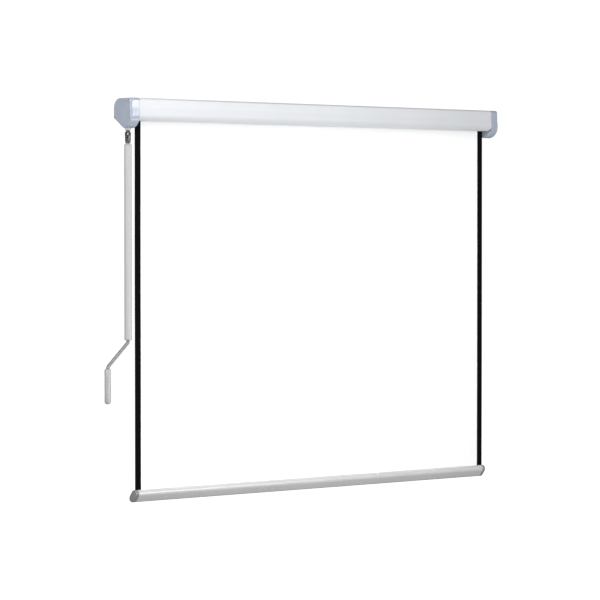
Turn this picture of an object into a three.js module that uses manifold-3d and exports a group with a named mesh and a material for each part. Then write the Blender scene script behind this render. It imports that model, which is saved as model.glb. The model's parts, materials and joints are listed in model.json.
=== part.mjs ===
// Pull-down projection screen for a wall, wound up with a crank that hangs at its left end.
// Millimetres, +X to the viewer's right, -Y towards the viewer, +Z up.
// The origin is the centre of the flat back of the case, where it lies on the wall.
import * as THREE from 'three';
import { mergeVertices } from 'three/addons/utils/BufferGeometryUtils.js';
import Module from 'manifold-3d';

const wasm = await Module();
wasm.setup();

// Fits
const gap = 0.3;
const overrun = 1;
const weld = 0.0001;

// Fabric
const fabricWidth = 1800;
const fabricDrop = 1356;
const fabricThickness = 0.5;

// Case profile
const caseHeight = 83;
const caseDepth = 104;
const caseWall = 1.8;
const backTopRadius = 36;
const frontTopRadius = 7;
const frontBottomRadius = 24;
const upperBandHeight = 35;
const frontLean = 3;
const caseChamferRise = 11;
const slotWidth = 12;
const slotLipHeight = 6;
const slotLipThickness = 1.6;

// Screw channels in the case: one near its top front edge, one near its lower back edge
const portRadius = 4.2;
const portHoleRadius = 1.9;
const upperPortInset = 13;
const upperPortDrop = 11;
const lowerPortDepth = 8;
const lowerPortRise = 12;

// Hanger slot along the back of the case, and the two hangers in it
const hangerSlotDrop = 10;
const hangerMouthHeight = 10;
const hangerLipThickness = 1.5;
const hangerHeight = 17.4;
const hangerThickness = 3;
const screwHeadRoom = 4;
const hangerWidth = 60;
const hangerSpacing = 1200;
const keyholeRadius = 4.4;
const keyholeSlotRadius = 2.3;
const keyholeSlotRise = 3;

// End caps
const capWidth = 40;
const capDrop = 27;
const capWall = 2.5;
const capFrontRadius = 48;
const capFootWidth = 2;
const capEdgeRound = 2;
const capColumnRadius = 4.2;

// End cap screws
const capScrewRadius = 1.6;
const capScrewHeadRadius = 3.6;
const capScrewHeadHeight = 1.6;
const capScrewGrip = 14;

// Bearing plates at the two ends of the case
const plateThickness = 2.5;
const plateRoom = 0.8;

// Roller
const rollerRadius = 22.5;
const rollerWall = 1.6;
const rollerAxisDepth = 36;
const rollerEndPlay = 2.3;
const rivetInset = 2.5;
const wrapThickness = 0.8;
const plugLength = 30;
const plugFlangeThickness = 2.4;
const plugFlangeLip = 0.8;
const driveShaftRadius = 7;
const driveSquare = 9;
const idlerRadius = 5;
const idlerLength = 34;
const idlerHeadRadius = 9;
const idlerHeadThickness = 3;
const idlerBushWall = 2;
const rivetRadius = 1.4;
const rivetDepth = 5;
const rivetHeadRadius = 1.7;
const rivetHeadHeight = 0.4;

// Worm and wheel
const gearModule = 2.4;
const wheelTeeth = 14;
const wormStarts = 2;
const axisDistance = 24;
const wheelWidth = 12;
const wormLength = 26;
const toothBacklash = 0.9;
const gearTipRelief = 0.35;
const gearRootRoom = 0.8;
const wormJournalRadius = 4;
const wormAxisInset = 19;

// Gearbox
const gearboxWall = 2.5;
const gearboxFrontWall = 3.3;
const gearboxHeight = 44;
const gearboxCoverThickness = 2.3;
const wheelRoom = 0.9;
const neckRadius = 10.5;
const neckDrop = 6;
const bushWall = 2;
const bushFlangeThickness = 1.6;
const bushLength = 7;
const clipThickness = 1;
const clipWidth = 2.4;
const clipGrooveDepth = 1;
const coverScrewRadius = 1.5;
const coverScrewHeadRadius = 2.8;
const coverScrewHeadHeight = 1.2;
const coverScrewLength = 15;
const coverScrewInset = 4;
const plateScrewLength = 12;
const wheelScrewRadius = 2;
const wheelScrewHeadRadius = 8;
const wheelScrewHeadHeight = 2;
const wheelScrewLength = 12;

// Universal joint below the gearbox
const jointDrop = 31;
const jointBlock = 12;
const forkEarThickness = 3.4;
const forkEarHalfWidth = 6;
const forkBridgeReach = 12.5;
const forkBridgeThickness = 4;
const upperSocketRadius = 7.4;
const lowerSocketRadius = 9.6;
const lowerSocketLength = 8;
const jointPinRadius = 2.2;
const rollPinRadius = 1.3;

// Crank
const rodRadius = 6.5;
const rodBendReach = 7;
const crankOffset = 95;
const sleeveTopDrop = 60;
const sleeveLength = 717;
const sleeveRadius = 14;
const sleeveWall = 3;
const ferruleThickness = 4;
const ferruleSpigot = 12;
const ringRadius = 9.5;
const ringThickness = 3;
const gripFall = 103;
const gripLength = 124;
const gripRadius = 12;
const gripEndRound = 3;
const rodEndCapThickness = 4;

// Bottom bar
const barHeight = 46;
const barDepth = 42;
const barOverhang = 7;
const barSideGap = 3;
const barFrontReach = 15;
const barRound = 14.5;
const barWall = 1.8;
const barSlotWidth = 2.6;
const kederRadius = 3.4;
const kederRoom = 0.8;
const kederDrop = 7;
const barCapThickness = 15;
const barCapSpigot = 12;
const barCapRound = 1;

// Facet counts
const roundSides = 24;
const smallSides = 12;
const arcSteps = 4;
const bendSteps = 16;
const twistSteps = 16;
const wheelSteps = 2;

// Places worked out from the sizes
const backFlatHeight = caseHeight - backTopRadius - caseChamferRise;
const topZ = backFlatHeight / 2 + backTopRadius;
const bottomZ = topZ - caseHeight;
const capBottomZ = bottomZ - capDrop;
const chamferDepth = caseDepth - capFrontRadius - capFootWidth;
const chamferSlope = (-backFlatHeight / 2 - capBottomZ) / chamferDepth;
const hangerSlotZ = backFlatHeight / 2 - hangerSlotDrop;
const barEndX = fabricWidth / 2 + barOverhang;
const capInnerX = barEndX + barSideGap;
const capOuterX = capInnerX + capWidth;
const caseEndX = capInnerX - gap;
const plateInnerX = capInnerX + gap;
const plateOuterX = plateInnerX + plateThickness;
const rollRadius = rollerRadius + gap + wrapThickness;
const rollerY = -rollerAxisDepth;
const rollerZ = (topZ + bottomZ) / 2;
const rollerEndX = plateInnerX - gap - rollerEndPlay - plugFlangeThickness - gap;
const fabricY = rollerY - rollRadius - gap - fabricThickness / 2;
const crankX = wormAxisInset - capOuterX;
const crankY = rollerY - axisDistance;
const wheelPitchRadius = (gearModule * wheelTeeth) / 2;
const wormPitchRadius = axisDistance - wheelPitchRadius;
const wormTipRadius = wormPitchRadius + gearModule - gearTipRelief;
const wheelTipRadius = wheelPitchRadius + gearModule - gearTipRelief;
const axialPitch = Math.PI * gearModule;
const wormLead = axialPitch * wormStarts;
const gearboxBackX = -plateOuterX - gap;
const gearboxOpenX = crankX - wormTipRadius - gearboxWall - gap;
const gearboxTopZ = rollerZ + gearboxHeight / 2;
const gearboxBottomZ = rollerZ - gearboxHeight / 2;
const wheelCavityRadius = wheelTipRadius + wheelRoom;
const wormCavityRadius = wormTipRadius + wheelRoom;
const gearboxFrontY = crankY - wormCavityRadius - gearboxWall;
const gearboxRearY = rollerY + wheelCavityRadius + gearboxWall;
const coverOuterX = gearboxOpenX - gap - gearboxCoverThickness;
const neckBottomZ = capBottomZ - neckDrop;
const bushFaceZ = neckBottomZ - gap - bushFlangeThickness;
const jointZ = capBottomZ - jointDrop;
const forkEarInner = jointBlock / 2 + gap;
const forkEarOuter = forkEarInner + forkEarThickness;
const gripTopDrop = sleeveTopDrop + sleeveLength + gripFall;
const barTopZ = bottomZ - fabricDrop;
const ports = [
  { y: upperPortInset - caseDepth, z: topZ - upperPortDrop },
  { y: -lowerPortDepth, z: bottomZ + lowerPortRise },
];

// Finishes: colour, roughness, metalness
const finishes = {
  whitePaint: [0xeceef2, 0.45, 0.1],
  greyPlastic: [0x9aa3ae, 0.55, 0],
  whiteFabric: [0xf7f7f5, 0.9, 0],
  zincSteel: [0xb4b8bd, 0.4, 0.9],
  darkSteel: [0x55575b, 0.45, 0.8],
  castZinc: [0x9b9ea2, 0.5, 0.8],
  brass: [0xb08d4f, 0.35, 0.9],
  blackPlastic: [0x2a2b2e, 0.6, 0],
  greyTube: [0xc9cacc, 0.5, 0],
  rodPaint: [0xa9abad, 0.4, 0.4],
};

// Shape makers

// A closed geometry as a solid that can be joined and cut.
function asSolid(geometry) {
  const bare = geometry.index ? geometry.toNonIndexed() : geometry.clone();
  bare.deleteAttribute('normal');
  bare.deleteAttribute('uv');
  const merged = mergeVertices(bare, weld);
  return new wasm.Manifold(new wasm.Mesh({
    numProp: 3,
    vertProperties: merged.attributes.position.array,
    triVerts: new Uint32Array(merged.index.array),
  }));
}

// A solid as a named mesh with its finish.
function piece(name, solid, finish) {
  const mesh = solid.getMesh();
  const geometry = new THREE.BufferGeometry();
  geometry.setAttribute('position', new THREE.BufferAttribute(mesh.vertProperties, 3));
  geometry.setIndex(new THREE.BufferAttribute(mesh.triVerts, 1));
  geometry.computeVertexNormals();
  const [color, roughness, metalness] = finishes[finish];
  const made = new THREE.Mesh(geometry, new THREE.MeshStandardMaterial({ color, roughness, metalness }));
  made.name = name;
  return made;
}

// A block between its lowest and highest corners.
function block(low, high) {
  const size = high.map((value, i) => value - low[i]);
  const geometry = new THREE.BoxGeometry(...size);
  geometry.translate(...high.map((value, i) => (value + low[i]) / 2));
  return asSolid(geometry);
}

// A round bar along an axis, from one place on it to another. The centre gives the other two
// places in order.
function rod(axis, radius, from, to, centre = [0, 0], sides = roundSides) {
  const geometry = new THREE.CylinderGeometry(radius, radius, to - from, sides);
  if (axis === 'x') geometry.rotateZ(-Math.PI / 2);
  if (axis === 'z') geometry.rotateX(Math.PI / 2);
  const place = [...centre];
  place.splice('xyz'.indexOf(axis), 0, (from + to) / 2);
  geometry.translate(...place);
  return asSolid(geometry);
}

// A tube along an axis.
function tube(axis, outer, inner, from, to, centre = [0, 0], sides = roundSides) {
  const hole = rod(axis, inner, from - overrun, to + overrun, centre, sides);
  return rod(axis, outer, from, to, centre, sides).subtract(hole);
}

// A body of revolution about Z through the centre, from points of radius and height.
function turned(points, centre = [0, 0], sides = roundSides) {
  const geometry = new THREE.LatheGeometry(points.map(([r, z]) => new THREE.Vector2(r, z)), sides);
  geometry.rotateX(Math.PI / 2);
  geometry.translate(centre[0], centre[1], 0);
  return asSolid(geometry);
}

// An outline drawn in Y and Z, made solid along X.
function alongX(shape, from, to, round = 0) {
  const geometry = new THREE.ExtrudeGeometry(shape, {
    depth: to - from - 2 * round,
    curveSegments: arcSteps,
    bevelEnabled: round > 0,
    bevelThickness: round,
    bevelSize: round,
    bevelOffset: -round,
    bevelSegments: 2,
  });
  geometry.translate(0, 0, from + round);
  const [x, y, z] = [0, 1, 2].map((i) => new THREE.Vector3().setComponent(i, 1));
  geometry.applyMatrix4(new THREE.Matrix4().makeBasis(y, z, x));
  return asSolid(geometry);
}

// Turns each layer of an extruded outline about its own axis, steadily along it.
function twist(geometry, turnPerLength) {
  const { position } = geometry.attributes;
  const point = new THREE.Vector3();
  const axis = new THREE.Vector3(0, 0, 1);
  for (let i = 0; i < position.count; i += 1) {
    point.fromBufferAttribute(position, i);
    point.applyAxisAngle(axis, point.z * turnPerLength);
    position.setXYZ(i, point.x, point.y, point.z);
  }
  return geometry;
}

// The side outline of the case, moved inwards by inset and reaching drop below the case's bottom.
function sideOutline(inset, drop, bottomRadius) {
  const low = bottomZ - drop;
  const flatLow = -backFlatHeight / 2;
  const front = -caseDepth;
  const shift = inset * Math.hypot(1, chamferSlope);
  const chamferZ = (y) => flatLow + chamferSlope * y + shift;
  const chamferY = (z) => (z - flatLow - shift) / chamferSlope;
  const upperFront = front + frontLean;
  const shape = new THREE.Shape();
  shape.moveTo(-inset, chamferZ(-inset));
  shape.lineTo(-inset, backFlatHeight / 2);
  shape.absarc(-backTopRadius, backFlatHeight / 2, backTopRadius - inset, 0, Math.PI / 2);
  const frontTop = [upperFront + frontTopRadius, topZ - frontTopRadius];
  shape.absarc(...frontTop, frontTopRadius - inset, Math.PI / 2, Math.PI);
  shape.lineTo(upperFront + inset, topZ - upperBandHeight);
  shape.absarc(front + bottomRadius, low + bottomRadius, bottomRadius - inset, Math.PI, 1.5 * Math.PI);
  shape.lineTo(chamferY(low + inset), low + inset);
  return shape;
}

// Case

function caseExtrusion() {
  const end = caseEndX;
  const slotFront = fabricY - slotWidth / 2;
  const slotBack = fabricY + slotWidth / 2;
  const lipTop = bottomZ + slotLipHeight;
  const channelBack = -hangerLipThickness - hangerThickness - 2 * gap;
  const pocketBack = channelBack - screwHeadRoom;
  const mouthLow = hangerSlotZ - hangerMouthHeight / 2;
  const mouthHigh = hangerSlotZ + hangerMouthHeight / 2;
  const channelLow = hangerSlotZ - hangerHeight / 2 - gap;
  const channelHigh = hangerSlotZ + hangerHeight / 2 + gap;
  let body = alongX(sideOutline(0, 0, frontBottomRadius), -end, end);
  body = body.subtract(alongX(sideOutline(caseWall, 0, frontBottomRadius), -end - overrun, end + overrun));
  for (const front of [slotFront - slotLipThickness, slotBack]) {
    body = body.add(block([-end, front, bottomZ], [end, front + slotLipThickness, lipTop]));
  }
  const slotLow = [-end - overrun, slotFront, bottomZ - overrun];
  body = body.subtract(block(slotLow, [end + overrun, slotBack, lipTop + overrun]));
  const ribLow = [-end, channelBack - caseWall, channelLow - caseWall];
  body = body.add(block(ribLow, [end, -caseWall / 2, channelHigh + caseWall]));
  const pocketLow = [-end, pocketBack - caseWall, mouthLow - caseWall];
  body = body.add(block(pocketLow, [end, -caseWall / 2, mouthHigh + caseWall]));
  const channel = [-end - overrun, channelBack, channelLow];
  body = body.subtract(block(channel, [end + overrun, -hangerLipThickness, channelHigh]));
  const mouth = [-end - overrun, pocketBack, mouthLow];
  body = body.subtract(block(mouth, [end + overrun, overrun, mouthHigh]));
  for (const { y, z } of ports) {
    const wallY = z > 0 ? y - portRadius : y;
    const wallZ = z > 0 ? topZ - caseWall / 2 : z;
    body = body.add(rod('x', portRadius, -end, end, [y, z], smallSides));
    if (z > 0) body = body.add(block([-end, wallY, z], [end, y + portRadius, wallZ]));
    else body = body.add(block([-end, y - portRadius, chamferWallZ(y)], [end, y + portRadius, z]));
    body = body.subtract(rod('x', portHoleRadius, -end - overrun, end + overrun, [y, z], smallSides));
  }
  return piece('case_extrusion', body, 'whitePaint');
}

// Height of the middle of the sloping wall at the back of the case, under a place y.
function chamferWallZ(y) {
  return -backFlatHeight / 2 + chamferSlope * (y - portRadius) + caseWall;
}

// A hanger plate that slides in the slot and hangs over a wall screw's head by its keyhole.
function hanger(name, x) {
  const back = -hangerLipThickness - gap;
  const front = back - hangerThickness;
  const low = hangerSlotZ - hangerHeight / 2;
  const z = hangerSlotZ - keyholeSlotRise;
  let plate = block([x - hangerWidth / 2, front, low], [x + hangerWidth / 2, back, low + hangerHeight]);
  plate = plate.subtract(rod('y', keyholeRadius, front - overrun, back + overrun, [x, z], smallSides));
  const slotTop = z + keyholeRadius + keyholeSlotRise;
  const slotLow = [x - keyholeSlotRadius, front - overrun, z];
  plate = plate.subtract(block(slotLow, [x + keyholeSlotRadius, back + overrun, slotTop]));
  return piece(name, plate, 'zincSteel');
}

// The hollow cap at one end, drawn for the right end: side is -1 at the left, 1 at the right.
function endCap(name, side) {
  const inner = capInnerX;
  const outer = capOuterX;
  const lobeTop = bottomZ - gap;
  let cap = alongX(sideOutline(0, capDrop, capFrontRadius), inner - 2 * capEdgeRound, outer, capEdgeRound);
  cap = cap.intersect(block(
    [inner, -caseDepth - overrun, capBottomZ - overrun],
    [outer + overrun, overrun, topZ + overrun],
  ));
  let hollow = alongX(sideOutline(capWall, capDrop, capFrontRadius), inner - overrun, outer - capWall);
  const web = block(
    [inner - 2 * overrun, -caseDepth, capBottomZ],
    [inner + capWall, 0, lobeTop],
  );
  hollow = hollow.subtract(web);
  cap = cap.subtract(hollow);
  for (const { y, z } of ports) {
    const foot = plateOuterX + gap;
    cap = cap.add(rod('x', capColumnRadius, foot, outer - capWall / 2, [y, z], smallSides));
    cap = cap.subtract(rod('x', portHoleRadius, foot - overrun, outer + overrun, [y, z], smallSides));
    const headRoom = outer - capScrewHeadHeight - gap;
    cap = cap.subtract(rod('x', capScrewHeadRadius + gap, headRoom, outer + overrun, [y, z], smallSides));
  }
  if (side < 0) {
    const hole = rod('z', neckRadius + gap, capBottomZ - overrun, bottomZ, [-crankX, crankY], roundSides);
    cap = cap.subtract(hole);
    cap = mirroredX(cap);
  }
  return piece(name, cap, 'greyPlastic');
}

// The same solid on the other side of the middle plane.
function mirroredX(solid) {
  return solid.mirror([1, 0, 0]);
}

function capScrew(name, side, port) {
  const headFace = capOuterX - gap;
  const neck = headFace - capScrewHeadHeight;
  const tip = caseEndX - capScrewGrip;
  const centre = [port.y, port.z];
  let screw = rod('x', capScrewRadius, tip, neck + overrun, centre, smallSides);
  screw = screw.add(rod('x', capScrewHeadRadius, neck, headFace, centre, smallSides));
  return piece(name, side < 0 ? mirroredX(screw) : screw, 'zincSteel');
}

// The steel plate that carries a roller end. It lies between the cap and the end of the case.
function bearingPlate(name, side, holeRadius) {
  const from = plateInnerX;
  const to = plateOuterX;
  let plate = alongX(sideOutline(capWall + plateRoom, 0, frontBottomRadius), from, to);
  plate = plate.subtract(rod('x', holeRadius, from - overrun, to + overrun, [rollerY, rollerZ]));
  for (const { y, z } of ports) {
    plate = plate.subtract(rod('x', portHoleRadius, from - overrun, to + overrun, [y, z], smallSides));
  }
  if (side < 0) {
    for (const { y, z } of plateScrewPlaces()) {
      const radius = coverScrewRadius + gap;
      plate = plate.subtract(rod('x', radius, from - overrun, to + overrun, [y, z], smallSides));
    }
    plate = mirroredX(plate);
  }
  return piece(name, plate, 'zincSteel');
}

// Gearbox

function coverScrewPlaces() {
  const rows = [gearboxBottomZ + coverScrewInset, gearboxTopZ - coverScrewInset];
  const columns = [gearboxFrontY + coverScrewInset, gearboxRearY - coverScrewInset];
  return rows.flatMap((z) => columns.map((y) => ({ y, z })));
}

function plateScrewPlaces() {
  return coverScrewPlaces().filter((place, i) => i === 1 || i === 2);
}

function gearboxBody() {
  const back = gearboxBackX;
  const open = gearboxOpenX;
  let body = block([open, gearboxFrontY, gearboxBottomZ], [back, gearboxRearY, gearboxTopZ]);
  body = body.add(rod('z', neckRadius, neckBottomZ, gearboxBottomZ + overrun, [crankX, crankY]));
  const cavityBack = back - gearboxFrontWall;
  const axis = [rollerY, rollerZ];
  body = body.subtract(rod('x', wheelCavityRadius, open - overrun, cavityBack, axis));
  body = body.subtract(rod('x', driveShaftRadius + gap, open - overrun, back + overrun, axis));
  const low = rollerZ - wormLength / 2 - gap;
  const high = rollerZ + wormLength / 2 + gap;
  body = body.subtract(rod('z', wormCavityRadius, low, high, [crankX, crankY]));
  const mouth = [open - overrun, crankY - wormCavityRadius, low];
  body = body.subtract(block(mouth, [crankX, crankY + wormCavityRadius, high]));
  const bushRadius = wormJournalRadius + gap + bushWall + gap;
  const flangeRadius = bushRadius + bushWall;
  body = body.subtract(rod('z', bushRadius, neckBottomZ - overrun, gearboxTopZ + overrun, [crankX, crankY]));
  const topSeat = gearboxTopZ - bushFlangeThickness - gap;
  body = body.subtract(rod('z', flangeRadius, topSeat, gearboxTopZ + overrun, [crankX, crankY]));
  for (const { y, z } of coverScrewPlaces()) {
    const depth = open + coverScrewLength;
    body = body.subtract(rod('x', coverScrewRadius + gap, open - overrun, depth, [y, z], smallSides));
  }
  for (const { y, z } of plateScrewPlaces()) {
    const depth = back - plateScrewLength + plateThickness;
    body = body.subtract(rod('x', coverScrewRadius + gap, depth, back + overrun, [y, z], smallSides));
  }
  return piece('gearbox_body', body, 'castZinc');
}

function gearboxCover() {
  const outer = coverOuterX;
  const inner = outer + gearboxCoverThickness;
  let cover = block([outer, gearboxFrontY, gearboxBottomZ], [inner, gearboxRearY, gearboxTopZ]);
  for (const { y, z } of coverScrewPlaces()) {
    const headRoom = outer + coverScrewHeadHeight + gap;
    const start = outer - overrun;
    cover = cover.subtract(rod('x', coverScrewRadius + gap, start, inner + overrun, [y, z], smallSides));
    cover = cover.subtract(rod('x', coverScrewHeadRadius + gap, start, headRoom, [y, z], smallSides));
  }
  return piece('gearbox_cover', cover, 'castZinc');
}

function coverScrew(name, { y, z }) {
  const head = coverOuterX + gap;
  const neck = head + coverScrewHeadHeight - gap;
  const tip = gearboxOpenX + coverScrewLength - overrun;
  let screw = rod('x', coverScrewRadius, neck - gap, tip, [y, z], smallSides);
  screw = screw.add(rod('x', coverScrewHeadRadius, head, neck, [y, z], smallSides));
  return piece(name, screw, 'zincSteel');
}

function plateScrew(name, { y, z }) {
  const face = -plateInnerX + gap;
  const tip = gearboxBackX - plateScrewLength + plateThickness + overrun;
  let screw = rod('x', coverScrewRadius, tip, face + gap, [y, z], smallSides);
  screw = screw.add(rod('x', coverScrewHeadRadius, face, face + coverScrewHeadHeight, [y, z], smallSides));
  return piece(name, screw, 'zincSteel');
}

// A flanged bush for the worm's journal: up is 1 with its flange on top, -1 with its flange below.
function wormBush(name, flangeZ, up) {
  const inner = wormJournalRadius + gap;
  const outer = inner + bushWall;
  const end = flangeZ - up * bushLength;
  const lip = flangeZ - up * bushFlangeThickness;
  const centre = [crankX, crankY];
  const span = [flangeZ, end].sort((a, b) => a - b);
  const flange = [flangeZ, lip].sort((a, b) => a - b);
  let bush = tube('z', outer, inner, ...span, centre);
  bush = bush.add(tube('z', outer + bushWall, inner, ...flange, centre));
  return piece(name, bush, 'brass');
}

// Worm shaft, modelled about its own axis with z measured from the height of the wheel's axis

// The section of the worm square to its axis: each thread's flanks follow the straight sides of its profile.
function wormSection() {
  const flank = Math.tan(THREE.MathUtils.degToRad(20));
  const root = wormPitchRadius - gearModule - gearRootRoom + gearTipRelief;
  const halfAtPitch = (axialPitch / 2 - toothBacklash) / 2;
  const halfAt = (radius) => halfAtPitch - (radius - wormPitchRadius) * flank;
  const radii = [root, (root + wormTipRadius) / 2, wormTipRadius];
  const points = [];
  for (let start = 0; start < wormStarts; start += 1) {
    const middle = (start * 2 * Math.PI) / wormStarts;
    const turn = (radius) => (halfAt(radius) / wormLead) * 2 * Math.PI;
    for (const radius of radii) points.push([radius, middle - turn(radius)]);
    points.push([wormTipRadius, middle]);
    for (const radius of [...radii].reverse()) points.push([radius, middle + turn(radius)]);
    const rootStep = (Math.PI / wormStarts - turn(root)) / 2;
    for (const share of [1, 2, 3]) points.push([root, middle + turn(root) + share * rootStep]);
  }
  return new THREE.Shape(points.map(([r, a]) => new THREE.Vector2(r * Math.cos(a), r * Math.sin(a))));
}

function wormShaft() {
  const geometry = new THREE.ExtrudeGeometry(wormSection(), {
    depth: wormLength,
    steps: twistSteps,
    bevelEnabled: false,
  });
  geometry.translate(0, 0, -wormLength / 2);
  let shaft = asSolid(twist(geometry, (2 * Math.PI) / wormLead));
  const clipZ = gearboxTopZ - rollerZ;
  const bottom = bushFaceZ - rollerZ - upperSocketLength();
  shaft = shaft.add(rod('z', wormJournalRadius, bottom, clipZ + 3 * clipThickness));
  const grooveRadius = wormJournalRadius - clipGrooveDepth;
  const grooveTop = clipZ + clipThickness + gap;
  shaft = shaft.subtract(tube('z', 2 * wormJournalRadius, grooveRadius, clipZ - gap, grooveTop));
  const pinZ = jointZ + forkBridgeReach + forkBridgeThickness + upperSocketLength() / 2 - rollerZ;
  const pinHole = rod('x', rollPinRadius + gap / 2, -sleeveRadius, sleeveRadius, [0, pinZ], smallSides);
  return piece('worm_shaft', shaft.subtract(pinHole), 'darkSteel');
}

// Length of the upper fork's socket, from below the lower bush to its bridge.
function upperSocketLength() {
  return bushFaceZ - gap - (jointZ + forkBridgeReach + forkBridgeThickness);
}

// A split ring on top of the worm's journal that keeps the shaft from dropping out.
function wormClip() {
  const bottom = gearboxTopZ - rollerZ;
  const inner = wormJournalRadius - clipGrooveDepth + gap;
  const outer = inner + clipWidth;
  let shape = tube('z', outer, inner, bottom, bottom + clipThickness, [0, 0], smallSides);
  const split = [-clipThickness, 0, bottom - overrun];
  shape = shape.subtract(block(split, [clipThickness, outer + overrun, bottom + clipThickness + overrun]));
  return piece('worm_clip', shape, 'zincSteel');
}

// Roller, modelled about its own axis

function rollerTube() {
  let made = tube('x', rollerRadius, rollerRadius - rollerWall, -rollerEndX, rollerEndX);
  for (const { x, side } of rivetPlaces()) {
    const [from, to] = side > 0 ? [0, 2 * rollerRadius] : [-2 * rollerRadius, 0];
    made = made.subtract(rod('z', rivetRadius + gap / 2, from, to, [x, 0], smallSides));
  }
  return piece('roller_tube', made, 'zincSteel');
}

function rivetPlaces() {
  const x = rollerEndX - rivetInset;
  return [-1, 1].flatMap((end) => [-1, 1].map((side) => ({ x: end * x, end, side })));
}

function plugBody(end) {
  const radius = rollerRadius - rollerWall - gap;
  const inner = end * (rollerEndX - plugLength);
  const face = end * (rollerEndX + gap);
  const outer = face + end * plugFlangeThickness;
  let plug = rod('x', radius, ...[inner, outer].sort((a, b) => a - b));
  plug = plug.add(rod('x', rollerRadius - plugFlangeLip, ...[face, outer].sort((a, b) => a - b)));
  for (const place of rivetPlaces().filter((p) => p.end === end)) {
    const span = [radius - rivetDepth - gap, 2 * radius].map((z) => place.side * z).sort((a, b) => a - b);
    plug = plug.subtract(rod('z', rivetRadius + gap / 2, ...span, [place.x, 0], smallSides));
  }
  return plug;
}

function drivePlug() {
  const shoulder = -rollerEndX - gap;
  const roundEnd = crankX + wheelWidth / 2 + gap;
  const squareEnd = crankX - wheelWidth / 2 - gap;
  const half = driveSquare / 2;
  let plug = plugBody(-1).add(rod('x', driveShaftRadius, roundEnd, shoulder));
  plug = plug.add(block([squareEnd, -half, -half], [roundEnd + overrun, half, half]));
  const boreEnds = [squareEnd - overrun, squareEnd + wheelScrewLength];
  const bore = rod('x', wheelScrewRadius + gap / 2, ...boreEnds, [0, 0], smallSides);
  return piece('drive_plug', plug.subtract(bore), 'castZinc');
}

function idlerPlug() {
  const bushRadius = idlerRadius + gap + idlerBushWall + gap;
  const inner = rollerEndX - plugLength;
  const bore = rod('x', bushRadius, inner - overrun, rollerEndX + plugLength);
  return piece('idler_plug', plugBody(1).subtract(bore), 'blackPlastic');
}

function idlerBush() {
  const inner = idlerRadius + gap;
  const from = rollerEndX - plugLength;
  const to = rollerEndX + gap + plugFlangeThickness;
  return piece('idler_bush', tube('x', inner + idlerBushWall, inner, from, to), 'brass');
}

function plugRivet(name, { x, side }) {
  const radius = rollerRadius;
  const root = radius - rollerWall - rivetDepth;
  const face = radius + gap / 2;
  let rivet = rod('z', rivetRadius, root, face + gap / 2, [x, 0], smallSides);
  rivet = rivet.add(rod('z', rivetHeadRadius, face, face + rivetHeadHeight, [x, 0], smallSides));
  if (side < 0) rivet = rivet.mirror([0, 0, 1]);
  return piece(name, rivet, 'zincSteel');
}

// The wheel's teeth lean with the worm's thread. One tooth points at the worm in the middle of the wheel.
function wormWheel() {
  const flank = Math.tan(THREE.MathUtils.degToRad(20));
  const root = wheelPitchRadius - gearModule - gearRootRoom + gearTipRelief;
  const halfAtPitch = (axialPitch / 2 - toothBacklash) / 2;
  const pitchAngle = (2 * Math.PI) / wheelTeeth;
  const points = [];
  for (let tooth = 0; tooth < wheelTeeth; tooth += 1) {
    const middle = -Math.PI / 2 + tooth * pitchAngle;
    const rootHalf = halfAtPitch + (wheelPitchRadius - root) * flank;
    const tipHalf = halfAtPitch - (wheelTipRadius - wheelPitchRadius) * flank;
    const flankPoints = [
      [root, rootHalf / root],
      [wheelPitchRadius, halfAtPitch / wheelPitchRadius],
      [wheelTipRadius, tipHalf / wheelTipRadius],
    ];
    for (const [radius, half] of flankPoints) points.push([radius, middle - half]);
    for (const [radius, half] of flankPoints.reverse()) points.push([radius, middle + half]);
  }
  const outline = points.map(([r, a]) => new THREE.Vector2(r * Math.cos(a), r * Math.sin(a)));
  const geometry = new THREE.ExtrudeGeometry(new THREE.Shape(outline), {
    depth: wheelWidth,
    steps: wheelSteps,
    bevelEnabled: false,
  });
  geometry.translate(0, 0, -wheelWidth / 2);
  const leadSlope = wormLead / (2 * Math.PI * wormPitchRadius);
  twist(geometry, leadSlope / wheelPitchRadius);
  geometry.rotateY(Math.PI / 2);
  geometry.translate(crankX, 0, 0);
  const half = driveSquare / 2 + gap;
  const bore = block([crankX - wheelWidth, -half, -half], [crankX + wheelWidth, half, half]);
  return piece('worm_wheel', asSolid(geometry).subtract(bore), 'brass');
}

function wheelScrew() {
  const face = crankX - wheelWidth / 2 - 2 * gap;
  const head = face - wheelScrewHeadHeight;
  const tip = face + wheelScrewLength - overrun;
  let screw = rod('x', wheelScrewRadius, face - gap, tip, [0, 0], smallSides);
  screw = screw.add(rod('x', wheelScrewHeadRadius, head, face));
  return piece('wheel_screw', screw, 'zincSteel');
}

// The last wraps of fabric that stay on the roller when the screen is down.
function fabricRoll() {
  const inner = rollerRadius + gap;
  const half = fabricWidth / 2;
  return piece('fabric_roll', tube('x', inner + wrapThickness, inner, -half, half), 'whiteFabric');
}

// Fixed axle at the right end, headed outside its plate.
function idlerAxle() {
  const plate = plateOuterX;
  const tip = plate - idlerLength;
  const centre = [rollerY, rollerZ];
  let axle = rod('x', idlerRadius, tip, plate + gap + overrun, centre);
  axle = axle.add(rod('x', idlerHeadRadius, plate + gap, plate + gap + idlerHeadThickness, centre));
  return piece('idler_axle', axle, 'darkSteel');
}

// The hanging fabric, from the front of the roller to the keder in the bottom bar.
function fabricSheet() {
  const bottom = barTopZ - kederDrop + kederRadius + gap;
  const half = fabricWidth / 2;
  const front = fabricY - fabricThickness / 2;
  const sheet = block([-half, front, bottom], [half, front + fabricThickness, rollerZ]);
  return piece('fabric_sheet', sheet, 'whiteFabric');
}

// Universal joint, modelled about its centre

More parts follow.
